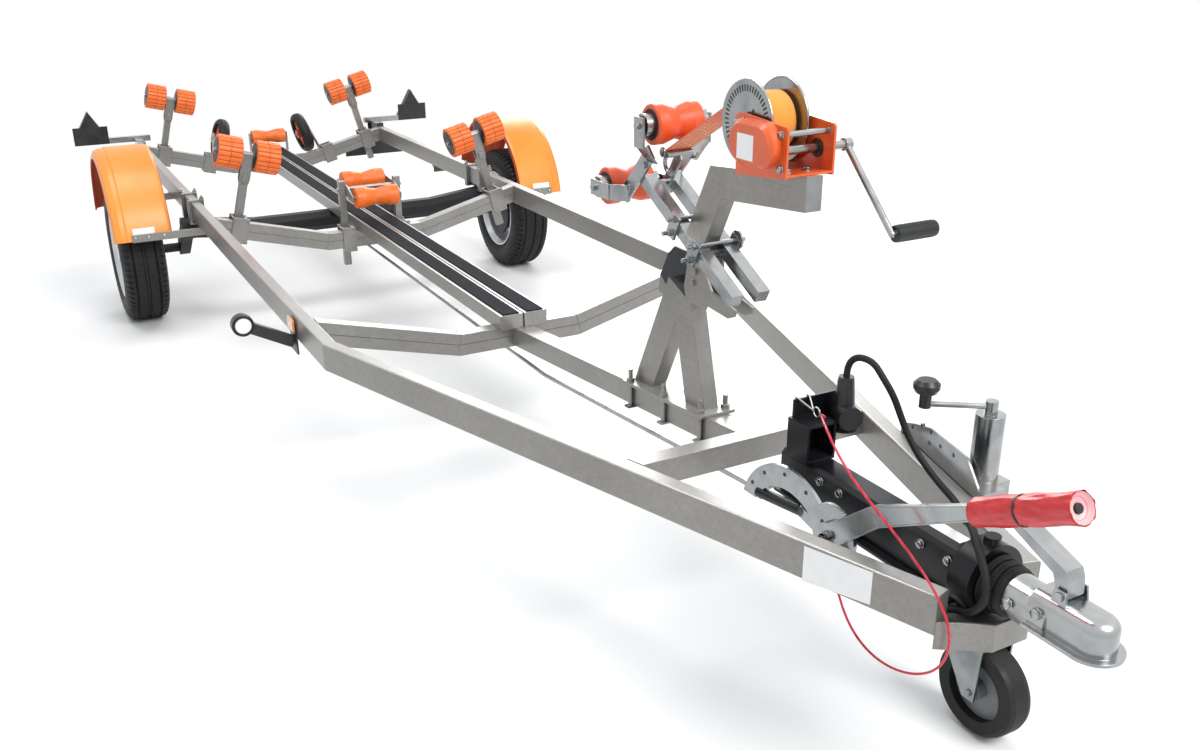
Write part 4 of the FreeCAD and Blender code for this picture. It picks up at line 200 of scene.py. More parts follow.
def zinc_plate():
    """Electroplated zinc on pressed and turned fittings: bright, slightly blue, soft small ripples; tops
    painted paler and sides darker, as painted light from above.
    """
    material, tree, place = new_material("bright_zinc_plated_steel")
    ripples = noise(tree, place, 9, 3)
    clouds = noise(tree, place, 60, 2)
    # Painted light: the sides' ramp is painted shade, the tops' ramp painted light.
    sides = ramp(tree, clouds, ((0.3, "#85898C"), (0.55, "#9EA1A2"), (0.8, "#93928C")))
    painted_lit_tops = ramp(tree, clouds, ((0.3, "#B2B5B7"), (0.55, "#C3C5C5"), (0.8, "#BAB8AF")))
    colour = mixed(tree, upward(tree), sides, painted_lit_tops)
    return finish_material(material, tree, Base_Color=colour, Metallic=0.95,
                           Roughness=between(tree, clouds, 0.3, 0.7, 0.14, 0.27),
                           Normal=bumped(tree, ripples, 0.25, 0.5, soft_edges(tree, 1.2)))


def clouded(name, tone, stops, rough, bump, edge=0.0, grain=None, tone_span=(0.3, 0.7), **sockets):
    """Material whose colour and roughness follow one noise; a finer grain or the same noise bumps it."""
    material, tree, place = new_material(name)
    clouds = noise(tree, place, *tone)
    height = noise(tree, place, *grain) if grain else clouds
    normal = bumped(tree, height, *bump, soft_edges(tree, edge) if edge else None)
    return finish_material(material, tree, Base_Color=ramp(tree, clouds, stops), Normal=normal,
                           Roughness=between(tree, clouds, *tone_span, *rough), **sockets)


def black_coating(name, code, low, high):
    """Cathodic dip coating on cast and rolled steel: satin black with a fine orange peel."""
    return clouded(name, (120, 5), ((0.35, code), (0.85, "#202226")), (low, high), (0.06, 0.4), 2, (2.5, 2),
                   (0.3, 0.8), IOR=1.5, Specular_IOR_Level=0.3)


def silver_lacquer():
    """Silver lacquer on the pressed wheels: fine metal flakes under a clear coat."""
    material, tree, place = new_material("silver_lacquered_steel")
    flakes = noise(tree, place, 1.5, 1)
    clouds = noise(tree, place, 80, 2)
    colour = ramp(tree, clouds, ((0.3, "#B4B7BB"), (0.8, "#CDD0D3")))
    return finish_material(material, tree, Base_Color=colour, Metallic=0.7, Coat_Weight=0.5,
                           Coat_Roughness=0.1, Roughness=between(tree, flakes, 0.3, 0.7, 0.28, 0.4),
                           Normal=soft_edges(tree, 2))


def orange_polypropylene():
    """Moulded mudguard: smooth bright orange outside; the inner face toward the hub is painted dark
    red-orange as shade, and is duller.
    """
    material, tree, place = new_material("moulded_orange_polypropylene")
    grain = noise(tree, place, 1.2, 2)
    clouds = noise(tree, place, 220, 3)
    outside = ramp(tree, clouds, ((0.3, "#EF8828"), (0.8, "#F69B47")))
    # Painted shade: darker ramp for the inner face.
    painted_shade_inside = ramp(tree, clouds, ((0.3, "#A4380F"), (0.8, "#BC4A18")))
    away = vector_maths(tree, "SUBTRACT", place, mm(0, 0, GUARD_Z))[0]
    facing = vector_maths(tree, "DOT_PRODUCT", away, add(tree, "NewGeometry").outputs["Normal"])["Value"]
    radius = vector_maths(tree, "LENGTH", vector_maths(tree, "MULTIPLY", away, (1, 0, 1))[0])["Value"]
    near = between(tree, radius, (GUARD_INSIDE + 0.5) * MM, (GUARD_INSIDE - 0.5) * MM)
    # Mask of the inner face, which gets the painted shade
    inner = maths(tree, "MULTIPLY", between(tree, facing, 0.0, -0.02), near)
    return finish_material(material, tree, Base_Color=mixed(tree, inner, outside, painted_shade_inside), IOR=1.49,
                           Roughness=between(tree, inner, 0, 1, 0.33, 0.6),
                           Normal=bumped(tree, grain, 0.04, 0.3, soft_edges(tree, 3)))


def polyester_webbing(name="woven_orange_polyester", light="#F7A43A", dark="#E28E2A"):
    """Woven strap: diagonal rows of yarn across the strap, dull, with a slight sheen."""
    material, tree, place = new_material(name)
    # Yarns are 1.2 mm apart, drawn 3 and 4 mm apart so that they show
    rows = add(tree, "TexWave", {"wave_type": "BANDS", "bands_direction": "DIAGONAL"}, Vector=place,
               Scale=waves_of(4, True), Distortion=0.4, Detail=1.0).outputs["Fac"]
    cross = add(tree, "TexWave", {"wave_type": "BANDS", "bands_direction": "Y"}, Vector=place,
                Scale=waves_of(3), Distortion=0.3).outputs["Fac"]
    weave = maths(tree, "MULTIPLY", rows, cross)
    colour = ramp(tree, weave, ((0.0, dark), (0.6, light)))
    return finish_material(material, tree, Base_Color=colour, Roughness=0.8, Sheen_Weight=0.3,
                           Normal=bumped(tree, weave, 0.4, 0.6))


def black_rubber(name="moulded_black_rubber", code="#141415", light="#2A2A2B", low=0.5, high=0.75,
                 shine=0.3):
    """Moulded rubber: matt black, a little grey dust in large soft patches."""
    return clouded(name, (50, 5), ((0.35, code), (0.85, light)), (low, high), (0.06, 0.4), 1.5, (1.5, 2),
                   (0.3, 0.8), IOR=1.5, Specular_IOR_Level=shine)


def moulded_plastic(name, code, light, gloss):
    """Injection-moulded plastic: even colour with a fine eroded grain."""
    return clouded(name, (45, 3), ((0.3, code), (0.8, light)), (gloss, gloss + 0.12), (0.03, 0.3), 1,
                   (1.2, 2), IOR=1.49)


def lens_acrylic(name, code):
    """Clear-coloured acrylic lens over a pattern of 6 mm prisms, paler towards each prism's edge as a
    painted glint.
    """
    material, tree, place = new_material(name)
    prisms = add(tree, "TexVoronoi", {"distance": "CHEBYCHEV"}, Vector=place, Scale=per_metre(6),
                 Randomness=0.0).outputs["Distance"]
    # Painted glint: the colour pales towards each prism's edge.
    colour = ramp(tree, prisms, ((0.0, code), (0.9, "#FFFFFF")))
    return finish_material(material, tree, Base_Color=mixed(tree, 0.12, linear(code), colour), IOR=1.49,
                           Roughness=0.12, Coat_Weight=1.0, Coat_Roughness=0.03,
                           Normal=bumped(tree, prisms, 0.8, 0.5))


def red_film():
    """Thin red shrink film over the lever's grip: translucent red, glossy, creased along the grip."""
    material, tree, place = new_material("red_polyethylene_film")
    creases = noise(tree, stretched(tree, place, (0.25, 1, 1)), 7, 4, 0.6)
    colour = ramp(tree, creases, ((0.3, "#B00F17"), (0.6, "#CC1A22"), (0.9, "#DB4144")))
    return finish_material(material, tree, Base_Color=colour, IOR=1.5, Roughness=0.34, Coat_Weight=0.2,
                           Coat_Roughness=0.15, Normal=bumped(tree, creases, 1.0, 0.7))


def red_sheathed_rope():
    """Wire rope in a clear red sleeve: bright red with the strands' twist showing."""
    material, tree, place = new_material("red_sheathed_wire_rope")
    # The strands' lay is 12 mm
    strands = add(tree, "TexWave", {"bands_direction": "DIAGONAL"}, Vector=place, Scale=waves_of(12, True),
                  Distortion=0.3).outputs["Fac"]
    colour = ramp(tree, strands, ((0.2, "#B5152E"), (0.8, "#D92846")))
    return finish_material(material, tree, Base_Color=colour, IOR=1.5, Roughness=0.3,
                           Normal=bumped(tree, strands, 0.3, 0.5))


def tyre_rubber():
    """Tyre compound: black, matt on the tread, smoother on the walls, with fine moulded rings."""
    material, tree, place = new_material("moulded_tyre_rubber")
    dust = noise(tree, place, 60, 5)
    flat = vector_maths(tree, "MULTIPLY", place, (1, 0, 1))[0]
    away = vector_maths(tree, "SUBTRACT", flat, (AXLE_X, 0, tyre_high[2] / 2))[0]
    radius = vector_maths(tree, "LENGTH", away)["Value"]
    # Moulded rings on the wall are 1 mm apart, drawn 6 mm apart so that they show
    rings = maths(tree, "SINE", maths(tree, "MULTIPLY", radius, per_metre(6) * tau))
    colour = ramp(tree, dust, ((0.35, "#101011"), (0.85, "#242425")))
    return finish_material(material, tree, Base_Color=colour, IOR=1.5, Specular_IOR_Level=0.3,
                           Roughness=between(tree, dust, 0.3, 0.8, 0.5, 0.72),
                           Normal=bumped(tree, rings, 0.25, 0.35))


GALVANISED = galvanised_steel()
ZINC = zinc_plate()
# Dark grey steel with a dull shine: painted shade on the winch stand's rear cheek; it also darkens the
# stand's lowest parts and fills the beams' seams.
DARK_SEAMS_AND_PAINTED_SHADE = clouded("dark_steel_painted_shade_and_seams", (25, 4), ((0.3, "#26272A"), (0.75, "#3A3C40")), (0.36, 0.5),
                    (0.1, 0.3), 1.5, Metallic=0.6)
AXLE_BLACK = black_coating("satin_black_axle_coating", "#141518", 0.42, 0.6)
CAST_BLACK = black_coating("black_dip_coated_casting", "#0D0E11", 0.26, 0.42)
# Powder coat on the winch: orange-red, glossy, with orange peel.
WINCH_ORANGE = clouded("orange_red_powder_coat", (70, 3), ((0.3, "#D2501A"), (0.8, "#E36226")), (0.28, 0.4),
                       (0.08, 0.5), 2, (3, 2), IOR=1.5, Coat_Weight=0.4, Coat_Roughness=0.12)
WHEEL_SILVER = silver_lacquer()
GUARD_ORANGE = orange_polypropylene()
# Cast polyurethane rollers: deep orange, satin, with light scuffs.
ROLLER_ORANGE = clouded("cast_orange_polyurethane", (35, 6, 0.65),
                        ((0.3, "#E8641C"), (0.6, "#F17529"), (0.85, "#F4904E")), (0.34, 0.55), (0.15, 0.3),
                        2, None, (0.3, 0.8), IOR=1.5, Subsurface_Weight=0.08,
                        Subsurface_Radius=(0.004, 0.002, 0.001), Subsurface_Scale=1.0)
WEBBING = polyester_webbing()
STRAP = polyester_webbing("woven_red_orange_polyester", "#EE7030", "#CB5418")
STITCHES = polyester_webbing("pale_polyester_thread", "#F6D9A8", "#D9B27C")
FILM_MOUTH = moulded_plastic("gathered_pink_polyethylene", "#E59DA0", "#F5D2D2", 0.3)
# Painted shade: darker orange for the grooves between the rollers' ribs.
ROLLER_SHADE = moulded_plastic("painted_groove_shade_polyurethane", "#A8420F", "#C25518", 0.55)
# Painted shade: blue-black discs for the shade in the rollers' hollow ends.
ROLLER_HOLLOW_SHADE = moulded_plastic("painted_hollow_shade_blue_black", "#1A1D24", "#2B2F38", 0.4)
BLACK_RUBBER = black_rubber()
TREAD_STRIP = black_rubber("extruded_black_rubber_strip", "#15171B", "#24272D", 0.7, 0.85, 0.1)
TYRE = tyre_rubber()
# Also painted shade: dark discs and bars for holes and slots.
BLACK_PLASTIC_AND_HOLE_SHADE = moulded_plastic("moulded_black_polyamide_and_painted_hole_shade", "#17181A", "#242527", 0.3)
RED_ORANGE = moulded_plastic("moulded_red_orange_polyurethane", "#D24A20", "#E05E34", 0.32)
GREY_PLASTIC = moulded_plastic("moulded_grey_polyamide", "#6E7072", "#828486", 0.4)
WHITE_LENS = lens_acrylic("clear_acrylic_lens", "#E9ECEE")
AMBER_LENS = lens_acrylic("amber_acrylic_lens", "#F28A1C")
RED_LENS = lens_acrylic("red_acrylic_lens", "#A50B14")
# White vinyl label: smooth, slightly glossy, faintly uneven where it is stuck down.
LABEL = clouded("white_vinyl_label", (22, 2), ((0.3, "#EBECEC"), (0.8, "#F1F1F0")), (0.3, 0.4), (0.15, 0.3),
                IOR=1.46)
RED_FILM = red_film()
RED_ROPE = red_sheathed_rope()


# Shapes: each returns its points (Vectors in mm from the axle) and faces

def square_to(way):
    """Two directions square to a third."""
    way = Vector(way).normalized()
    first = way.cross(Vector((0, 0, 1)) if abs(way.z) < 0.9 else Vector((1, 0, 0))).normalized()
    return first, way.cross(first)


def spoke(turn):
    """At an angle from +X about an axis along Y: the way out from the axis and the way round it."""
    return Vector((cos(turn), 0, sin(turn))), Vector((-sin(turn), 0, cos(turn)))


def rows_joined(rows, count, closed=False):
    """Faces between neighbouring rings of points; closed also joins the last ring to the first."""
    faces = []
    for r in range(rows if closed else rows - 1):
        a, b = r * count, (r + 1) % rows * count
        faces += [(a + i, a + (i + 1) % count, b + (i + 1) % count, b + i) for i in range(count)]
    return faces


def lathe(profile, centre, axis, steps=32, closed=False):
    """Turn (radius, along) points about an axis; the ends are closed where the radius is zero."""
    axis = Vector(axis).normalized()
    u, v = square_to(axis)
    points = []
    for radius, along in profile:
        for i in range(steps):
            turn = tau * i / steps
            points.append(Vector(centre) + axis * along + (u * cos(turn) + v * sin(turn)) * radius)
    return points, rows_joined(len(profile), steps, closed)


def drum(radius, low, high, centre, axis, edge=1.0, steps=32):
    """Round bar from low to high along its axis, with broken edges."""
    return lathe([(0, low), (radius - edge, low), (radius, low + edge), (radius, high - edge),
                  (radius - edge, high), (0, high)], centre, axis, steps)


def ring(radius, halves, centre, axis, steps, sides):
    """Rounded ring; halves are its half thickness out from the axis and along it."""
    out, up = halves
    section = [(radius + out * cos(tau * k / sides), up * sin(tau * k / sides)) for k in range(sides)]
    return lathe(section, centre, axis, steps, closed=True)


def hole(at, radius, axis, deep):
    """Dark disc on a face in place of a hole through it: painted shade in the hole."""
    return lathe([(0, 0), (radius, 0), (radius, deep), (0, deep)], at, axis, 20)


def prism(outline, along):
    """Closed solid from a flat outline of points, drawn out by a vector."""
    n = len(outline)
    along = Vector(along)
    points = [Vector(p) for p in outline] + [Vector(p) + along for p in outline]
    faces = [tuple(range(n - 1, -1, -1)), tuple(range(n, 2 * n))]
    faces += [(i, (i + 1) % n, n + (i + 1) % n, n + i) for i in range(n)]
    return points, faces


def tube(path, radii, sides=10):
    """Round tube along a path; radii is one number or one for each point."""
    path = [Vector(p) for p in path]
    if not hasattr(radii, "__len__"):
        radii = [radii] * len(path)
    tangents = []
    for i in range(len(path)):
        tangents.append((path[min(i + 1, len(path) - 1)] - path[max(i - 1, 0)]).normalized())
    u, v = square_to(tangents[0])
    points = []
    for i, (at, way, radius) in enumerate(zip(path, tangents, radii)):
        if i:
            turn = tangents[i - 1].rotation_difference(way)
            u = turn @ u
            v = turn @ v
        points += [at + (u * cos(tau * k / sides) + v * sin(tau * k / sides)) * radius
                   for k in range(sides)]
    ends = [tuple(range(sides - 1, -1, -1)), tuple(range(len(points) - sides, len(points)))]
    return points, rows_joined(len(path), sides) + ends


def hexagon_nut(at, axis, across, height):
    """Hexagon head or nut with its corners turned off."""
    corner = across / sqrt(3)
    return lathe([(0, 0), (corner, 0), (corner, height * 0.82), (across * 0.47, height), (0, height)],
                 at, axis, 6)


def bolt(at, axis, size=10, stub=0.0):
    """Washer and hexagon head or nut standing on a face; a stub is the bolt's free end."""
    axis = Vector(axis).normalized()
    at = Vector(at)
    washer = size * 0.2
    shapes = [drum(size * 1.05, 0, washer, at, axis, washer / 4, 24),
              hexagon_nut(at + axis * washer, axis, size * 1.7, size * 0.7)]
    if stub:
        top = washer + size * 0.7
        shapes.append(drum(size / 2, top, top + stub, at, axis, size / 8, 14))
    return shapes


def piece(name, shapes, material, body="chassis", bevel=0.0, smooth=40, stands_for=None):
    """One object from many shapes, shaded smooth except at edges sharper than the given angle."""
    points = []
    faces = []
    for more_points, more_faces in shapes:
        base = len(points)
        points += [mm(*p) for p in more_points]
        faces += [tuple(base + i for i in face) for face in more_faces]
    mesh = bpy.data.meshes.new(name)
    mesh.from_pydata(points, [], faces)
    mesh.validate()
    mesh.shade_smooth()
    mesh.set_sharp_from_angle(angle=radians(smooth))
    made = show(bpy.data.objects.new(name, mesh))
    mesh.materials.append(material)
    if bevel:
        rounding = made.modifiers.new("rounding", "BEVEL")
        rounding.width = bevel * MM
        rounding.segments = 2
        rounding.limit_method = "ANGLE"
    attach(made, body)
    if stands_for:
        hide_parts(stands_for)
    return made


# Finish of every node of the frame

# Every other node is galvanised tube or plate
FINISHES = {
    ZINC: """bow_stop_frame slider_clamps cable_hook winch_drum winch_crank coupling_head coupling_lever
        brake_gear handbrake_lever jockey_post jockey_fork tail_lamp_sets""",
    AXLE_BLACK: "torsion_axle",
    CAST_BLACK: "overrun_housing plug_holder",
    WINCH_ORANGE: "winch_frame",
    WHEEL_SILVER: "wheel_right wheel_left",
    GUARD_ORANGE: "mudguard_right mudguard_left",
    ROLLER_ORANGE: """roller_pair_mid_right roller_pair_mid_left roller_pair_rear_right
        roller_pair_rear_left rocker_roller_front rocker_roller_rear rear_keel_roller bow_roller_upper
        bow_roller_lower""",
    STRAP: "winch_strap",
    TREAD_STRIP: "plank_treads",
    TYRE: "tyre_right tyre_left",
    BLACK_RUBBER: "guide_wheel_right guide_wheel_left jockey_wheel",
    BLACK_PLASTIC_AND_HOLE_SHADE: "plug marker_lamps",
}


def dress(node, material):
    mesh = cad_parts[node].data
    mesh.materials.clear()
    mesh.materials.append(material)


def dress_where(node, material, chosen):
    """Give a second finish to the faces whose middle, in mm from the axle, passes the test."""
    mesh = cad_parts[node].data
    mesh.materials.append(material)
    index = len(mesh.materials) - 1
    for face in mesh.polygons:
        middle = (Vector(face.center) - Vector((AXLE_X, 0, 0))) / MM
        if chosen(middle):
            face.material_index = index


def away_from(point, x, z):
    return hypot(point.x - x, point.z - z)


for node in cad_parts:
    # The two cords are drawn again below
    if node not in ("lead_cord", "breakaway_cable"):
        dress(node, GALVANISED)
for finish, nodes in FINISHES.items():
    for node in nodes.split():
        dress(node, finish)


# Cords

LEAD_ROUTE = [(3640, 66, 753), (3640, 66, 779), (3660, 72, 803), (3697, 83, 801), (3722, 90, 773),
              (3738, 108, 735), (3750, 122, 690), (3768, 133, 645), (3800, 146, 602), (3840, 153, 573),
              (3886, 146, 562), (3930, 124, 562), (3968, 92, 572), (4004, 56, 592), (4040, 24, 614),
              (4078, -6, 630), (4114, -32, 626), (4146, -50, 610), (4168, -58, 588), (4176, -61, 560),
              (4168, -61, 534), (4148, -67, 508), (4115, -55, 496), (4098, -79.9, 496)]
ROPE_ROUTE = [(3658.7, -12, 690), (3678.7, -12, 690), (3692, -40, 706), (3737, -73, 722), (3787, -104, 727),
              (3843, -128, 714), (3900, -142, 693), (3957, -147, 669), (4014, -144, 640), (4066, -137, 607),
              (4112, -129, 570), (4148, -124, 530), (4164, -121, 484), (4156, -118, 434), (4128, -117, 392),
              (4086, -118, 361), (4036, -119, 342), (3984, -120, 338), (3936, -121, 352), (3899, -121, 382),
              (3874, -121, 420), (3852, -121, 456), (3824, -116.8, 491), (LEVER_X, -116.8, LEVER_Z)]


def smooth_line(route, resolution=24):
    """Points of the NURBS spline that a route controls, in mm from the axle."""
    curve = bpy.data.curves.new("route", "CURVE")
    curve.dimensions = "3D"
    curve.resolution_u = resolution
    spline = curve.splines.new("NURBS")
    spline.points.add(len(route) - 1)
    for point, at in zip(spline.points, route):
        point.co = (*at, 1)
    spline.order_u = 3
    spline.use_endpoint_u = True
    holder = bpy.data.objects.new("route", curve)
    line = bpy.data.meshes.new_from_object(holder)
    points = [v.co.copy() for v in line.vertices]
    bpy.data.objects.remove(holder)
    bpy.data.curves.remove(curve)
    bpy.data.meshes.remove(line)
    return points


def length_of(points):
    return sum((b - a).length for a, b in zip(points, points[1:]))


def evenly(points, step):
    """The same line with points a fixed length apart."""
    total = length_of(points)
    count = max(2, round(total / step))
    made = [points[0].copy()]
    walked = 0.0
    for a, b in zip(points, points[1:]):
        run = (b - a).length
        while len(made) <= count and run > 0 and walked + run >= total * len(made) / count - 1e-6:
            made.append(a.lerp(b, (total * len(made) / count - walked) / run))
        walked += run
    return made


def cord(name, route, radius, grooves, step, sides, material, node):
    """Cord along its route; the groove depths are taken off its radius in turn, point by point."""
    line = smooth_line(route)
    points = evenly(line, step)
    radii = [radius - grooves[i % len(grooves)] for i in range(len(points))]
    radii[0] = radii[-1] = radius
    made = piece(name, [tube(points, radii, sides)], material, smooth=70, stands_for=node)


# Corrugated conduit: rings 4.2 mm apart and 0.9 mm deep
cord("corrugated_lead", LEAD_ROUTE, 7.5, (0, 0.5, 0.9), 1.4, 12, BLACK_RUBBER, "lead_cord")
# Wire rope in its red sleeve, from the lever's pin to the ring on the holder
cord("red_breakaway_rope", ROPE_ROUTE, 2.5, (0,), 3, 8, RED_ROPE, "breakaway_cable")


# Tyres: smooth walls with a rim guard, four tread bands and notched shoulders

SIDES = (("right", -1), ("left", 1))
TREAD_DEPTH = 7.0
NOTCHES = 66
WHEEL_Y = 918


def tyre_section():
    """(radius, across, notch depth) from the bead to the middle of the tread, on one side."""
    crown = (tyre_high[2] - tyre_low[2]) / 2 / MM
    half = (tyre_high[1] - tyre_low[1]) / 2 / MM
    wall = [(crown - down, half - inwards, notch) for down, inwards, notch in (
        (114.6, 18, 0), (105, 17, 0), (98, 11, 0), (86, 4, 0), (74, 1, 0), (60, 0.3, 0), (45, 2, 0),
        (32, 5, 0), (24, 8.5, 1.5), (15, 12, 4), (7, 18, 5.5), (2.5, 25, 6.5))]
    bands = []
    for inner, outer in ((half * 0.56, half - 30), (half * 0.1, half * 0.46)):
        bands += [(crown - TREAD_DEPTH, outer + 4, 0), (crown - 0.6, outer, 1.5), (crown, inner, 1.5),
                  (crown - TREAD_DEPTH, inner - 4, 0)]
    return wall + [(crown - 0.8, half - 30, 6.5)] + bands[1:]


def tyre(word, side):
    section = tyre_section()
    rows = [(r, side * a, n) for r, a, n in section] + [(r, -side * a, n) for r, a, n in reversed(section)]
    middle = (tyre_high[2] + tyre_low[2]) / 2 / MM
    low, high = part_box("tyre_" + word)
    centre = Vector((0, side * (abs(low[1]) + abs(high[1])) / 2 / MM, middle))
    angles = []
    for notch in range(NOTCHES):
        for share, cut in ((0.0, 0), (0.66, 0), (0.7, 1), (0.96, 1)):
            angles.append((tau * (notch + share) / NOTCHES, cut))
    points = []
    for radius, across, depth in rows:
        # Notches lean along the tread, as the shoulder sipes do
        lean = 0.03 * across / 92
        for angle, cut in angles:
            r = radius - depth * cut
            turn = angle + lean
            points.append(centre + Vector((r * sin(turn), across, r * cos(turn))))
    n = len(angles)
    faces = []
    for row in range(len(rows)):
        a, b = row * n, (row + 1) % len(rows) * n
        faces += [(a + i, b + i, b + (i + 1) % n, a + (i + 1) % n) for i in range(n)]
    if side < 0:
        faces = [tuple(reversed(f)) for f in faces]
    piece("treaded_tyre_" + word, [(points, faces)], TYRE, "wheel_%s_body" % word, smooth=32,
          stands_for="tyre_" + word)


def wheel_bolts(word, side):
    """Five wheel bolts and the tyre valve."""
    low, high = span("wheel_" + word)
    middle = Vector((0, side * WHEEL_Y, (low.z + high.z) / 2))
    face = middle + Vector((0, side * 36, 0))
    shapes = []
    for i in range(5):
        turn = tau * (i + 0.5) / 5
        at = face + Vector((sin(turn), 0, cos(turn))) * 56
        outline = [(0, 0), (13, 0), (12, 5), (10, 8), (10, 18), (8, 20), (0, 20)]
        shapes.append(lathe(outline, at, (0, side, 0), 6))
    turn = radians(22.5)
    out = Vector((sin(turn), 0, cos(turn)))
    valve = middle + Vector((0, side * 38.5, 0)) + out * 150
    shapes.append(lathe([(0, 0), (5, 0), (5, 12), (3.5, 14), (3.5, 30), (0, 31)], valve,
                        Vector((0, side * 0.8, 0)) - out * 0.4, 12))
    piece("wheel_bolts_" + word, shapes, ZINC, "wheel_%s_body" % word)


for word, side in SIDES:
    tyre(word, side)
    wheel_bolts(word, side)


# Hull rollers: twenty ribs round each, and a recessed hub in each end

RIBS = 20
HALF_SHELL = 46
SHELL_FROM_MIDDLE = 76
ARM_TILT = atan(0.2594)
SHAFT_HALF_PLACE = 497.5
SHAFT_TOP = 786.8
SHAFT_X = {"mid": 581.7, "rear": -1353.3}
RIB_SECTION = ((-8.4, 62.4), (8.4, 62.4), (7.9, 64.6), (6.4, 65.3), (-6.4, 65.3), (-7.9, 64.6))


def hull_rollers():
    """Name, middle and shaft direction of each pair."""
    return [(place + "_" + word, Vector((x, side * SHAFT_HALF_PLACE, SHAFT_TOP)),
             Vector((0, side * cos(ARM_TILT), sin(ARM_TILT))))
            for place, x in SHAFT_X.items() for word, side in SIDES]


def roller_ribs(name, centre, along):
    first, second = square_to(along)
    ribs, grooves, hubs, ends = [], [], [], []
    for end in (-1, 1):
        middle = centre + along * (end * SHELL_FROM_MIDDLE)
        # Dark ring under the ribs: painted shade in the grooves between them
        outline = [(61.5, -HALF_SHELL), (63.35, -HALF_SHELL), (63.35, HALF_SHELL), (61.5, HALF_SHELL)]
        grooves.append(lathe(outline, middle, along, 60, closed=True))
        for i in range(RIBS):
            turn = tau * i / RIBS
            out = first * cos(turn) + second * sin(turn)
            round_way = along.cross(out)
            # Each rib is cut in two by a 2 mm gap in the middle
            for start in (-HALF_SHELL, 1):
                foot = middle + along * start
                outline = [foot + out * up + round_way * across for across, up in RIB_SECTION]
                ribs.append(prism(outline, along * (HALF_SHELL - 1)))
        for face in (-1, 1):
            at = middle + along * (face * (HALF_SHELL + 2))
            hubs.append(lathe([(9, 0), (17, 0), (17, 2.5), (9, 2.5)], at, along * face, 24, closed=True))
            # Blue-black disc round the hub: painted shade in the hollow end
            outline = [(17.5, 0), (50, 0), (50, 0.6), (17.5, 0.6)]
            ends.append(lathe(outline, at, along * face, 40, closed=True))
    for word, shapes, material, slot, bevel in (("ribs", ribs, ROLLER_ORANGE, "orange_rubber", 0.8),
                                                ("grooves", grooves, ROLLER_SHADE, "orange_rubber", 0),
                                                ("hubs", hubs, GREY_PLASTIC, "black_plastic", 0),
                                                ("ends", ends, ROLLER_HOLLOW_SHADE, "black_plastic", 0)):
        piece("roller_%s_%s" % (word, name), shapes, material, "roller_%s_body" % name, bevel, 50)


for name, centre, along in hull_rollers():
    roller_ribs(name, centre, along)


# Second finishes of the frame's nodes

DRUM = Vector((3405, 0, 1251))
BOW_ROLLERS = {"bow_roller_upper": (3050, 1201), "bow_roller_lower": (2832, 1019)}
KEEL_ROLLERS = {"rocker_roller_front": (673, 580), "rocker_roller_rear": (489, 618),
                "rear_keel_roller": (-1314.5, 550.5)}


def off_axis(p, at, way):
    """Distance of a point from the line through at along way."""
    return (p - at - way * (p - at).dot(way)).length


def second_finishes():
    """Wound webbing, grips, discs, lamp bodies, the knob, the bellows and the cheek darkened as painted
    shade.
    """
    dress_where("winch_drum", WEBBING, lambda p: abs(p.y) < 36 and 27 < away_from(p, DRUM.x, DRUM.z) < 61)
    dress_where("winch_crank", BLACK_PLASTIC_AND_HOLE_SHADE, lambda p: p.y > 137.5 and p.x > 3600)
    for word, side in SIDES:
        centre = Vector((-1480, side * 237.6, 530.3))
        dress_where("guide_wheel_" + word, RED_ORANGE, lambda p: (p - centre).length < 86)
    dress_where("tail_lamp_sets", BLACK_PLASTIC_AND_HOLE_SHADE,
                lambda p: (p.z > 588 and abs(p.y) > 820) or p.z < 556 and 480 < p.y < 860)
    knob = Vector((3863 + 130 * cos(radians(234)), 252 + 130 * sin(radians(234)), 0))
    dress_where("jockey_post", BLACK_PLASTIC_AND_HOLE_SHADE,
                lambda p: hypot(p.x - knob.x, p.y - knob.y) < 34 and p.z > 716)
    dress_where("jockey_wheel", GREY_PLASTIC, lambda p: away_from(p, 3938, 105) < 68)
    dress_where("overrun_housing", BLACK_RUBBER, lambda p: p.x > 4139)
    # Painted shade: the stand's rear cheek above 800 mm is darkened, and so are its parts below 444 mm.
    dress_where("winch_stand", DARK_SEAMS_AND_PAINTED_SHADE, lambda p: p.x < 3156 and p.z > 800 or p.z < 444)


def spindles():
    """Bright spindles, cross rods and bushes on orange parts, and the black brake cylinder."""
    for node, (x, z) in BOW_ROLLERS.items():
        dress_where(node, RED_ORANGE, lambda p: away_from(p, x, z) > 12)
        dress_where(node, ZINC, lambda p: abs(p.y) > 62.6 and away_from(p, x, z) < 28)
    for node, (x, z) in (BOW_ROLLERS | KEEL_ROLLERS).items():
        dress_where(node, ZINC, lambda p: away_from(p, x, z) < 12)
    dress_where("winch_frame", ZINC, lambda p: away_from(p, 3542, 1246) < 12 and abs(p.y) < 59)
    for name, centre, along in hull_rollers():
        dress_where("roller_pair_" + name, ZINC, lambda p: off_axis(p, centre, along) < 16)
    rear, front = Vector((3566, -88.5, 490)), Vector((3714, -88.5, 512))
    way = (front - rear).normalized()
    dress_where("brake_gear", CAST_BLACK,
                lambda p: 0 < (p - rear).dot(way) < 148 and off_axis(p, rear, way) < 14)
    dress_where("winch_arm", GREY_PLASTIC, lambda p: p.x > 3572)


second_finishes()
spindles()


# Blank labels

def label(name, corners, lift):
    """Thin rectangle of vinyl; lift is its thickness and the way out of its face."""
    piece(name, [prism(corners, lift)], LABEL)


# The right rail's outer face runs from the bend to the nose
RAIL_HALF, NOSE_HALF = 696, 125
BEND_X, NOSE_X = 2337, 4130


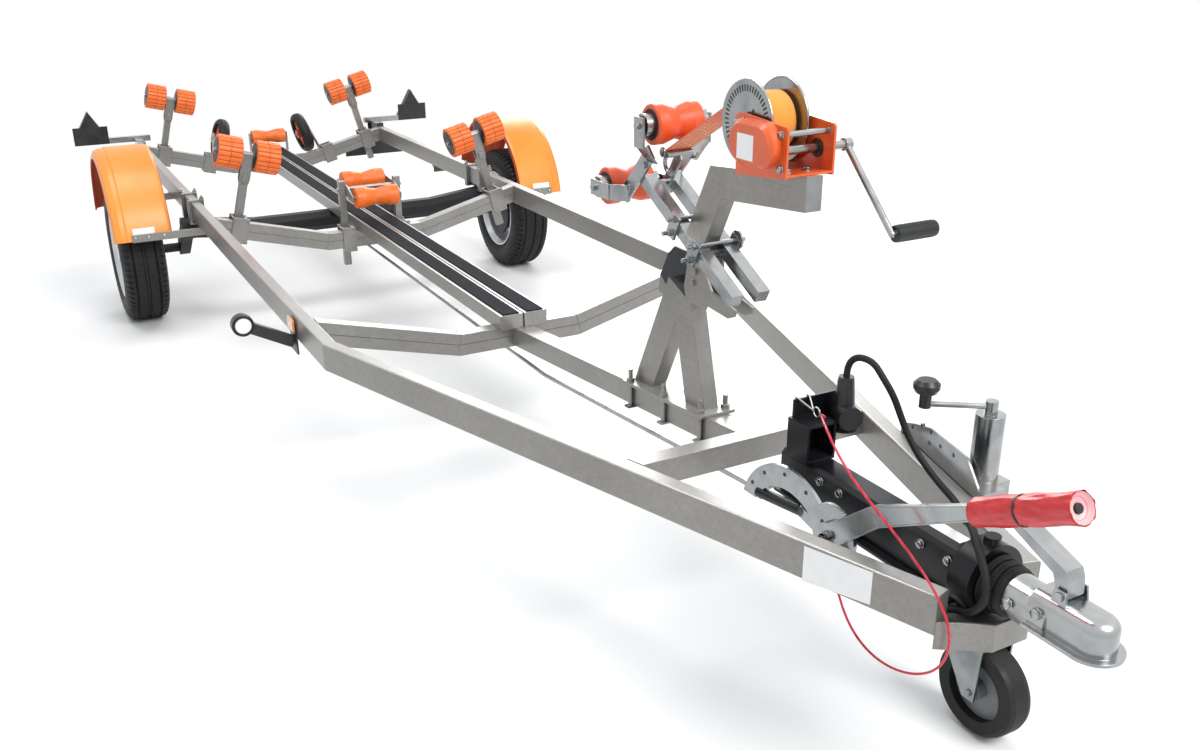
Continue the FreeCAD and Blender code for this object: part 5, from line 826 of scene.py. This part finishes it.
def on_rail(corner, out):
    """A measured place moved to just outside the right rail's outer face."""
    face_y = -(RAIL_HALF - (corner.x - BEND_X) * (RAIL_HALF - NOSE_HALF) / (NOSE_X - BEND_X))
    return corner + (Vector((0, face_y - corner.y, 0)) + out * 0.1)


def labels():
    """White blanks on the right rail, the housing, the gear cover and over the mudguard stays."""
    rear, front = Vector((3870, -206.8, 0)), Vector((4009, -163.5, 0))
    out = Vector((-0.303, -0.953, 0))
    corners = [rear + Vector((0, 0, 468)), front + Vector((0, 0, 479)), front + Vector((0, 0, 546)),
               rear + Vector((0, 0, 543))]
    label("rail_label", [on_rail(c, out) for c in corners], out * 0.4)
    label("housing_label", [(3955, -2, 582.1), (4052, -2, 582.1), (4052, 26, 582.1), (3955, 26, 582.1)],
          (0, 0, 0.4))
    corners = (3437, 1189), (3492, 1189), (3492, 1240), (3437, 1240)
    label("gear_cover_label", [(x, -90.1, z) for x, z in corners], (0, -0.4, 0))
    for word, side in SIDES:
        strip = []
        for angle in (12.0, 14.0, 16.0, 18.0):
            out = spoke(radians(angle))[0] * GUARD_OUTSIDE
            strip += [Vector((out.x, side * y, GUARD_Z + out.z)) for y in (872, 958)]
        faces = [(2 * i, 2 * i + 1, 2 * i + 3, 2 * i + 2) for i in range(3)]
        piece("guard_label_" + word, [(strip, faces)], LABEL)


labels()


# Brake lever: folded edges, and red film over its grip, tied in the middle and open at its end

def lever_points():
    """Root, bend and end of the lever's middle line."""
    root = Vector((LEVER_X, -100, LEVER_Z))
    return (root, root + spoke(radians(39.4))[0] * 168, root + spoke(radians(30.3))[0] * 602)


def lever_flanges():
    """Folded edges of the lever's channel on its near face, from the root to the film."""
    root, bend, end = (p + Vector((0, -7, 0)) for p in lever_points())
    first, second = (way.cross(Vector((0, 1, 0))).normalized() for way in (bend - root, end - bend))
    stations = [(root + (bend - root) * 0.3, first, 23.0), (bend, (first + second).normalized(), 20.9),
                (bend + (end - bend) * 0.56, second, 13.9)]
    shapes = []
    for side in (-1, 1):
        for (a, across_a, half_a), (b, across_b, half_b) in zip(stations, stations[1:]):
            shapes.append(prism([a + across_a * side * half_a, b + across_b * side * half_b,
                                 b + across_b * side * (half_b - 3), a + across_a * side * (half_a - 3)],
                                (0, -3, 0)))
    piece("lever_flanges", shapes, ZINC, "handbrake_body", 0.8)


def film():
    bend, end = lever_points()[1:]
    way = (end - bend).normalized()
    u, v = square_to(way)
    start = end - way * 186
    rings, sides, long, tied = 46, 60, 214.0, 0.47
    points = []
    for i in range(rings):
        share = i / (rings - 1)
        tie = exp(-((share - tied) / 0.03) ** 2)
        flare = max(0.0, share - 0.86) / 0.14
        for k in range(sides):
            turn = tau * k / sides
            pleat = sin(7 * turn + 3.1 * sin(5 * share)) + 0.6 * sin(13 * turn + 9 * share)
            swell = 1.1 * sin(pi * min(1, abs(share - tied) * 3))
            radius = (24.7 + 0.5 * (1 + pleat * 0.6) + swell * (1 + 0.5 * pleat) - 0.3 * tie
                      + flare * (1.5 + 0.8 * pleat))
            points.append(start + way * (share * long) + (u * cos(turn) + v * sin(turn)) * radius)
    sleeve = points, rows_joined(rings, sides)
    made = piece("red_grip_film", [sleeve], RED_FILM, "handbrake_body", smooth=80)
    made.modifiers.new("film", "SOLIDIFY").thickness = 0.6 * MM
    outline = [(25.2, -2.5), (26.6, -1.5), (26.6, 1.5), (25.2, 2.5)]
    band = lathe(outline, start + way * (long * tied), way, 40, closed=True)
    core = lathe([(0, 0), (8, 0), (8, 5), (0, 6)], end + way * 17.2, way, 20)
    piece("grip_tie", [band, core], BLACK_PLASTIC_AND_HOLE_SHADE, "handbrake_body")
    outline = [(9, 18), (18, 19), (24, 24), (25.4, 27.5), (23.6, 24.5), (17, 18.2), (9, 17.4)]
    mouth = lathe(outline, end, way, 60, closed=True)
    piece("film_mouth", [mouth], FILM_MOUTH, "handbrake_body", smooth=60)


lever_flanges()
film()


# Winch: slotted ring and rolled rims on the drum, bolts and a bearing ring on the frame, ribbed grip

def ribs_round(centre, count, radius, low, high, tall, along):
    """Bars round an axis along Y; low and high are half their width at the foot and at the top."""
    shapes = []
    for i in range(count):
        out, round_way = spoke(tau * i / count)
        base = centre + out * radius
        top = base + out * tall
        shapes.append(prism([base - round_way * low, base + round_way * low, top + round_way * high,
                             top - round_way * high], (0, along, 0)))
    return shapes


def winch_details():
    flange_y = -46.02
    # The dark bars are painted shade in the flange's slots
    slots = ribs_round(DRUM + Vector((0, flange_y, 0)), 48, 63, 1.6, 2.5, 13, -0.3)
    slots.append(drum(4, 0, 0.3, DRUM + Vector((22, flange_y, 26)), (0, -1, 0), 0.1, 16))
    piece("drum_slots", slots, BLACK_PLASTIC_AND_HOLE_SHADE, "drum_body")
    rims = [ring(86.5, (2.6, 2.9), DRUM + Vector((0, y, 0)), (0, 1, 0), 72, 10) for y in (-44, 44)]
    rims.append(hexagon_nut(DRUM + Vector((0, -64.7, 0)), (0, -1, 0), 19, 8))
    piece("drum_rims", rims, ZINC, "drum_body", smooth=50)
    wound = lathe([(60.6, -34), (61.6, -33), (61.6, 33), (60.6, 34)], DRUM, (0, 1, 0), 72)
    piece("outer_strap_turn", [wound], WEBBING, "drum_body", smooth=60)
    fasteners = []
    for x, z in ((3411, 1256), (3542, 1246), (3545, 1180)):
        for side in (-1, 1):
            fasteners += bolt((x, side * 60.1, z), (0, side, 0), 8)
    for x in (3420, 3520):
        floor_top = 1134 + (x - 3243) * (1166 - 1134) / (3578 - 3243) + 5.6
        for y in (24, -24):
            fasteners += bolt((x, y, floor_top), (0, 0, 1), 9)
    piece("winch_bolts", fasteners, ZINC)
    outline = [(11, 0), (19, 0), (19, 2.4), (11, 2.4)]
    bearing = lathe(outline, (3512, 54.9, 1208), (0, -1, 0), 28, closed=True)
    piece("winch_bearing_ring", [bearing], BLACK_PLASTIC_AND_HOLE_SHADE)


def crank_grip():
    """Lengthwise ribs on the crank's grip."""
    low, high = span("winch_crank")
    grip_radius = 17
    centre = Vector((high.x - grip_radius, 0, low.z + grip_radius)) + Vector((0, high.y - 98, 0))
    ribs = ribs_round(centre, 22, 16.6, 1.3, 0.7, 1.2, 92)
    piece("crank_grip_ribs", ribs, BLACK_PLASTIC_AND_HOLE_SHADE, "crank_body")


winch_details()
crank_grip()


# Bow stop: stitched strap, snap hook and roller end rings

def block_along(at, way, up, long, wide, tall):
    side = way.cross(up)
    along, across = way * long / 2, side * wide / 2
    return prism([at - along - across, at + along - across, at + along + across, at - along + across],
                 up * tall)


def strap_stitches():
    """Rows of thread along both faces of the strap and zigzags across; 1 mm thread is drawn 2 mm wide."""
    low, high = span("winch_strap")
    way = Vector((high.x - low.x - 3, 0, high.z - low.z - 3)).normalized()
    top = Vector((-way.z, 0, way.x))
    foot = Vector((low.x + 1.6, 0, low.z + 1.6))
    shapes = []
    for up in (top, -top):
        for y in (-29, -15, 0, 15, 29):
            for i in range(13):
                at = foot + way * (36 + i * 12) + up * 1.5 + Vector((0, y, 0))
                shapes.append(block_along(at, way, up, 8, 2, 0.7))
        for i in range(4):
            slant = Vector((0, 1, 0)) * 0.8 + way * (0.6 if i % 2 else -0.6)
            for k in range(6):
                at = foot + way * (48 + i * 42) + up * 1.6 + slant * (k * 9 - 22)
                shapes.append(block_along(at, slant.normalized(), up, 6, 2, 0.7))
    piece("strap_stitches", shapes, STITCHES)


def snap_hook():
    """Forged hook on the strap's end: a cross pin with two cheeks, and a bent bill with its latch."""
    eye = Vector((3066, 0, 1138))
    middle = eye + Vector((-30, 0, -34))
    bill = [eye, eye + Vector((-16, 0, -10))]
    for degrees in range(60, 331, 18):
        turn = radians(degrees)
        bill.append(middle + Vector((19 * cos(turn), 0, 22 * sin(turn))))
    shapes = [tube(bill, 5, 12), drum(6, -38, 38, eye, (0, 1, 0), 1, 18),
              tube([eye + Vector((-8, 0, -14)), middle + Vector((17, 0, -6))], 2.2, 8)]
    for y in (-37, 37):
        shapes.append(drum(12, -2, 2, eye + Vector((0, y, 0)), (0, 1, 0), 0.6, 20))
    piece("strap_snap_hook", shapes, ZINC, smooth=50)


def bow_roller_seals():
    """Black ring round the bright bush at each end of the bow rollers."""
    for node, (x, z) in BOW_ROLLERS.items():
        outline = [(27, 0), (36, 0), (35, 1.6), (27, 1.6)]
        rings = [lathe(outline, (x, side * 62, z), (0, side, 0), 36, closed=True) for side in (-1, 1)]
        piece(node + "_seals", rings, BLACK_RUBBER, node.replace("_roller", "") + "_body")


strap_stitches()
snap_hook()
bow_roller_seals()


# Seam along the middle of each cross beam's front and rear faces, and welds at its bends

BEAM_FRONTS = (2139, 645, -1290)
BEAM_DEPTH, BEAM_HEIGHT, ARM_LENGTH = 50, 70, 466
BEND_Y, BEND_Z = 205, 433
SEAM_UP, SEAM_HALF = -34.6, 0.7


def beam_place(side, along, up):
    """Y and Z of a place along a beam's bent arm and up from the bend's top corner."""
    return (side * (BEND_Y + along * cos(ARM_TILT) - up * sin(ARM_TILT)),
            BEND_Z + along * sin(ARM_TILT) + up * cos(ARM_TILT))


def beam_seams():
    seams, welds = [], []
    bends = [beam_place(side, 0, SEAM_UP) for side in (-1, 1)]
    ends = [beam_place(side, ARM_LENGTH, SEAM_UP) for side in (-1, 1)]
    for front in BEAM_FRONTS:
        faces = ((front, 0.25), (front - BEAM_DEPTH, -0.25))
        for x, out in faces:
            for (y0, z0), (y1, z1) in (*zip(bends, ends), bends):
                outline = [(x, y0, z0 - SEAM_HALF), (x, y1, z1 - SEAM_HALF),
                           (x, y1, z1 + SEAM_HALF), (x, y0, z0 + SEAM_HALF)]
                seams.append(prism(outline, (out, 0, 0)))
        for side in (-1, 1):
            top = beam_place(side, 0, 0)
            foot = beam_place(side, 0, -BEAM_HEIGHT)
            paths = [[(x, *foot), (x, *top)] for x, out in faces] + [[(x, *top) for x, out in faces]]
            welds += [tube(path, 1.6, 8) for path in paths]
    piece("beam_seams", seams, DARK_SEAMS_AND_PAINTED_SHADE)
    piece("beam_welds", welds, GALVANISED)


beam_seams()


# Lamps: lenses, rubber rings and reflectors

def lamps():
    white, amber, red, rubber = [], [], [], []
    lens = [(25, 0), (24, 3), (15, 5.5), (0, 6.5)]
    for side in (-1, 1):
        tip = Vector((1970 + 28, side * (RAIL_HALF + 150), span("marker_lamps")[1].z - 33))
        for out, shapes in ((1, white), (-1, red)):
            shapes.append(lathe(lens, tip + Vector((out * 13.1, 0, 0)), (out, 0, 0), 40))
        for out in (-1, 1):
            outline = [(25, 0), (33, 0), (32, 5), (28, 7.5), (25, 5)]
            rubber.append(lathe(outline, tip + Vector((out * 13, 0, 0)), (out, 0, 0), 40, closed=True))
        y = side * 701.2
        corners = (1974, 496), (2036, 496), (2036, 533), (1974, 533)
        amber.append(prism([(x, y, z) for x, z in corners], (0, side * 7, 0)))
        rear = span("tail_lamp_sets")[0].x + 0.2
        centre = side * 918
        for colour, wide, bottom, top in ((red, 74, 596, 640), (amber, 50, 644, 672),
                                          (white, 28, 676, 700)):
            outline = [(rear, centre - wide, bottom), (rear, centre + wide, bottom),
                       (rear, centre + wide * 0.66, top), (rear, centre - wide * 0.66, top)]
            colour.append(prism(outline, (-4, 0, 0)))
    for name, shapes, material, slot in (("white_lenses", white, WHITE_LENS, "black_plastic"),
                                         ("amber_lenses", amber, AMBER_LENS, "black_plastic"),
                                         ("red_lenses", red, RED_LENS, "black_plastic"),
                                         ("lamp_rubbers", rubber, BLACK_RUBBER, "black_rubber")):
        piece(name, shapes, material, bevel=0.8)


lamps()


# Coupling and overrun gear: bellows and bolts

def overrun_details():
    folds = [ring(51 - i / 6 * 8.5, (2.6, 2.6), (4144 + i * 8.2, 0, 550), (1, 0, 0), 48, 8)
             for i in range(6)]
    piece("bellows_folds", folds, BLACK_RUBBER, smooth=60)
    bright = []
    for side in (-1, 1):
        bright += bolt((4206, side * 42.5, 556), (0, side, 0), 10)
        bright += bolt((4262, side * 37.2, 566), (0, side, 0), 10)
        # The brake lever's bolt comes twice, once in each round, in the same place
        bright += bolt((LEVER_X, -115, LEVER_Z), (0, -1, 0), 10)
    for x in (3700, 3760, 3990, 4060):
        for side in (-1, 1):
            bright += bolt((x, side * 34.2, 560), (0, side, 0), 9)
    bright += bolt((4168, -52, 470), (0.8, -0.6, 0), 10)
    piece("coupling_bolts", bright, ZINC)


overrun_details()


# Fasteners on the mudguard stays and the axle clamps

def chassis_bolts():
    shapes = []
    for side in (-1, 1):
        for end in (-1, 1):
            for y in (838, 900, 952):
                shapes += bolt((end * 403.6, side * y, 452), (end, 0, 0), 7)
        for dx in (-82, 82):
            for y in (648, 704):
                shapes += bolt((172 + dx, side * y, 558), (0, 0, 1), 10, 8)
    piece("chassis_bolts", shapes, ZINC)


chassis_bolts()


# Brake gear: teeth round the quadrant and holes through the crescent

def brake_details():
    # The lever turns in front of the quadrant, from y = -93 outwards, so the teeth stay behind it
    near, thick = -92.6, 7.5
    centre = Vector((LEVER_X, near, LEVER_Z))
    teeth = []
    for i in range(26):
        out, round_way = spoke(radians(48 + i * 5.2))
        foot = centre + out * 62
        outline = [foot - round_way * 2.2, foot + round_way * 2.2, centre + out * 66.5]
        teeth.append(prism(outline, (0, thick, 0)))
    piece("quadrant_teeth", teeth, ZINC)
    middle = Vector((3670, -93.2, 422))
    places = [middle + spoke(radians(degrees))[0] * 149 for degrees in (42, 68, 96, 124, 146)]
    holes = [hole(at, 4.5, (0, -1, 0), 0.35) for at in places]
    piece("crescent_holes", holes, BLACK_PLASTIC_AND_HOLE_SHADE)


brake_details()


# Blank number-plate carrier: rim and bars on its rear face; holes in the jockey wheel's rail plate

def plate_carrier():
    rear, y0, y1, z0, z1 = -1489, 492, 852, 362, 444
    strips = [(y0, y1, z0, z0 + 5), (y0, y1, z1 - 5, z1), (y0, y0 + 5, z0, z1), (y1 - 5, y1, z0, z1),
              (y0, y1, 400, 404)]
    strips += [(y0 + i * 45 - 2, y0 + i * 45 + 2, z0, z1) for i in range(1, 8)]
    shapes = [prism([(rear, a, c), (rear, b, c), (rear, b, d), (rear, a, d)], (-2.5, 0, 0))
              for a, b, c, d in strips]
    piece("plate_carrier_ribs", shapes, BLACK_PLASTIC_AND_HOLE_SHADE)
    holes = []
    out = Vector((0.303, 0.953, 0))
    for x, z in ((3620, 582), (3660, 604), (3700, 580), (3700, 606), (3745, 594), (3800, 600)):
        at = Vector((x, 345.4 - (x - 3438) * 0.31846, z))
        holes += [hole(at - out * 0.05, 5, -out, 0.3), hole(at + out * 5.05, 5, out, 0.3)]
    piece("jockey_plate_holes", holes, BLACK_PLASTIC_AND_HOLE_SHADE)


plate_carrier()


# Stage, light and camera

def seen_directly(tree):
    """1 for what the camera sees, also in reflections and through clear parts, and 0 for other light."""
    path = add(tree, "LightPath")
    return maths(tree, "MAXIMUM", path.outputs["Is Camera Ray"],
                 maths(tree, "MAXIMUM", path.outputs["Is Glossy Ray"], path.outputs["Is Transmission Ray"]))


def floor_and_world():
    """Pale floor that keeps the shadow near the object and fades to white further out."""
    material, tree, place = new_material("pale_floor_paint")
    clouds = noise(tree, place, 900, 2)
    colour = ramp(tree, clouds, ((0.3, "#F1F1F1"), (0.8, "#F3F3F3")))
    paint = add(tree, "BsdfPrincipled", Base_Color=colour, Roughness=0.9, Specular_IOR_Level=0.2).outputs[0]
    seen = seen_directly(tree)
    fade = between(tree, vector_maths(tree, "LENGTH", place)["Value"], 3.0, 6.5)
    share = maths(tree, "MULTIPLY", seen, fade)
    white = add(tree, "Emission", Color=linear("#FFFFFF"), Strength=1.0).outputs[0]
    both = add(tree, "MixShader", in_0=share, in_1=paint, in_2=white).outputs[0]
    add(tree, "OutputMaterial", Surface=both)
    mesh = bpy.data.meshes.new("floor")
    reach = 40
    corners = [(-reach, -reach, 0), (reach, -reach, 0), (reach, reach, 0), (-reach, reach, 0)]
    mesh.from_pydata(corners, [], [(0, 1, 2, 3)])
    mesh.materials.append(material)
    floor = show(bpy.data.objects.new("floor", mesh))
    world = bpy.data.worlds.new("plain_white_studio")
    world.use_nodes = True
    tree = world.node_tree
    tree.nodes.clear()
    seen = seen_directly(tree)
    lit = add(tree, "Background", Color=linear("#E9EDF0"), Strength=0.62).outputs[0]
    shown = add(tree, "Background", Color=linear("#FFFFFF"), Strength=1.0).outputs[0]
    both = add(tree, "MixShader", in_0=seen, in_1=lit, in_2=shown).outputs[0]
    add(tree, "OutputWorld", Surface=both)
    bpy.context.scene.world = world


def soft_lamp(name, at, target, size, watts):
    lamp = bpy.data.lights.new(name, "AREA")
    lamp.shape = "DISK"
    lamp.size = size
    lamp.energy = watts
    made = show(bpy.data.objects.new(name, lamp))
    made.location = at
    made.rotation_euler = (Vector(target) - Vector(at)).to_track_quat("-Z", "Y").to_euler()


def camera():
    """Camera at the photograph's viewpoint, found from the straight rails and the ground."""
    yaw, pitch, roll = radians(151.699), radians(21.329), radians(-0.371)
    forward = Vector((cos(yaw) * cos(pitch), sin(yaw) * cos(pitch), -sin(pitch)))
    lens = bpy.data.cameras.new("camera")
    lens.sensor_width = 36
    lens.lens = 33.71
    lens.clip_end = 200
    made = show(bpy.data.objects.new("camera", lens))
    made.rotation_mode = "QUATERNION"
    made.rotation_quaternion = forward.to_track_quat("-Z", "Y") @ Quaternion((0, 0, 1), roll)
    made.location = mm(5311, -1416, 1608)
    bpy.context.scene.camera = made


floor_and_world()
soft_lamp("key_lamp", (7.0, 1.5, 6.0), (0.5, 0, 0.4), 4.0, 520)
soft_lamp("top_lamp", (-0.5, -1.5, 7.0), (-0.5, 0, 0.4), 4.0, 230)
soft_lamp("back_lamp", (-6.5, 4.5, 4.0), (0, 0, 0.4), 5.0, 330)
camera()
bpy.context.scene.view_settings.view_transform = "Standard"
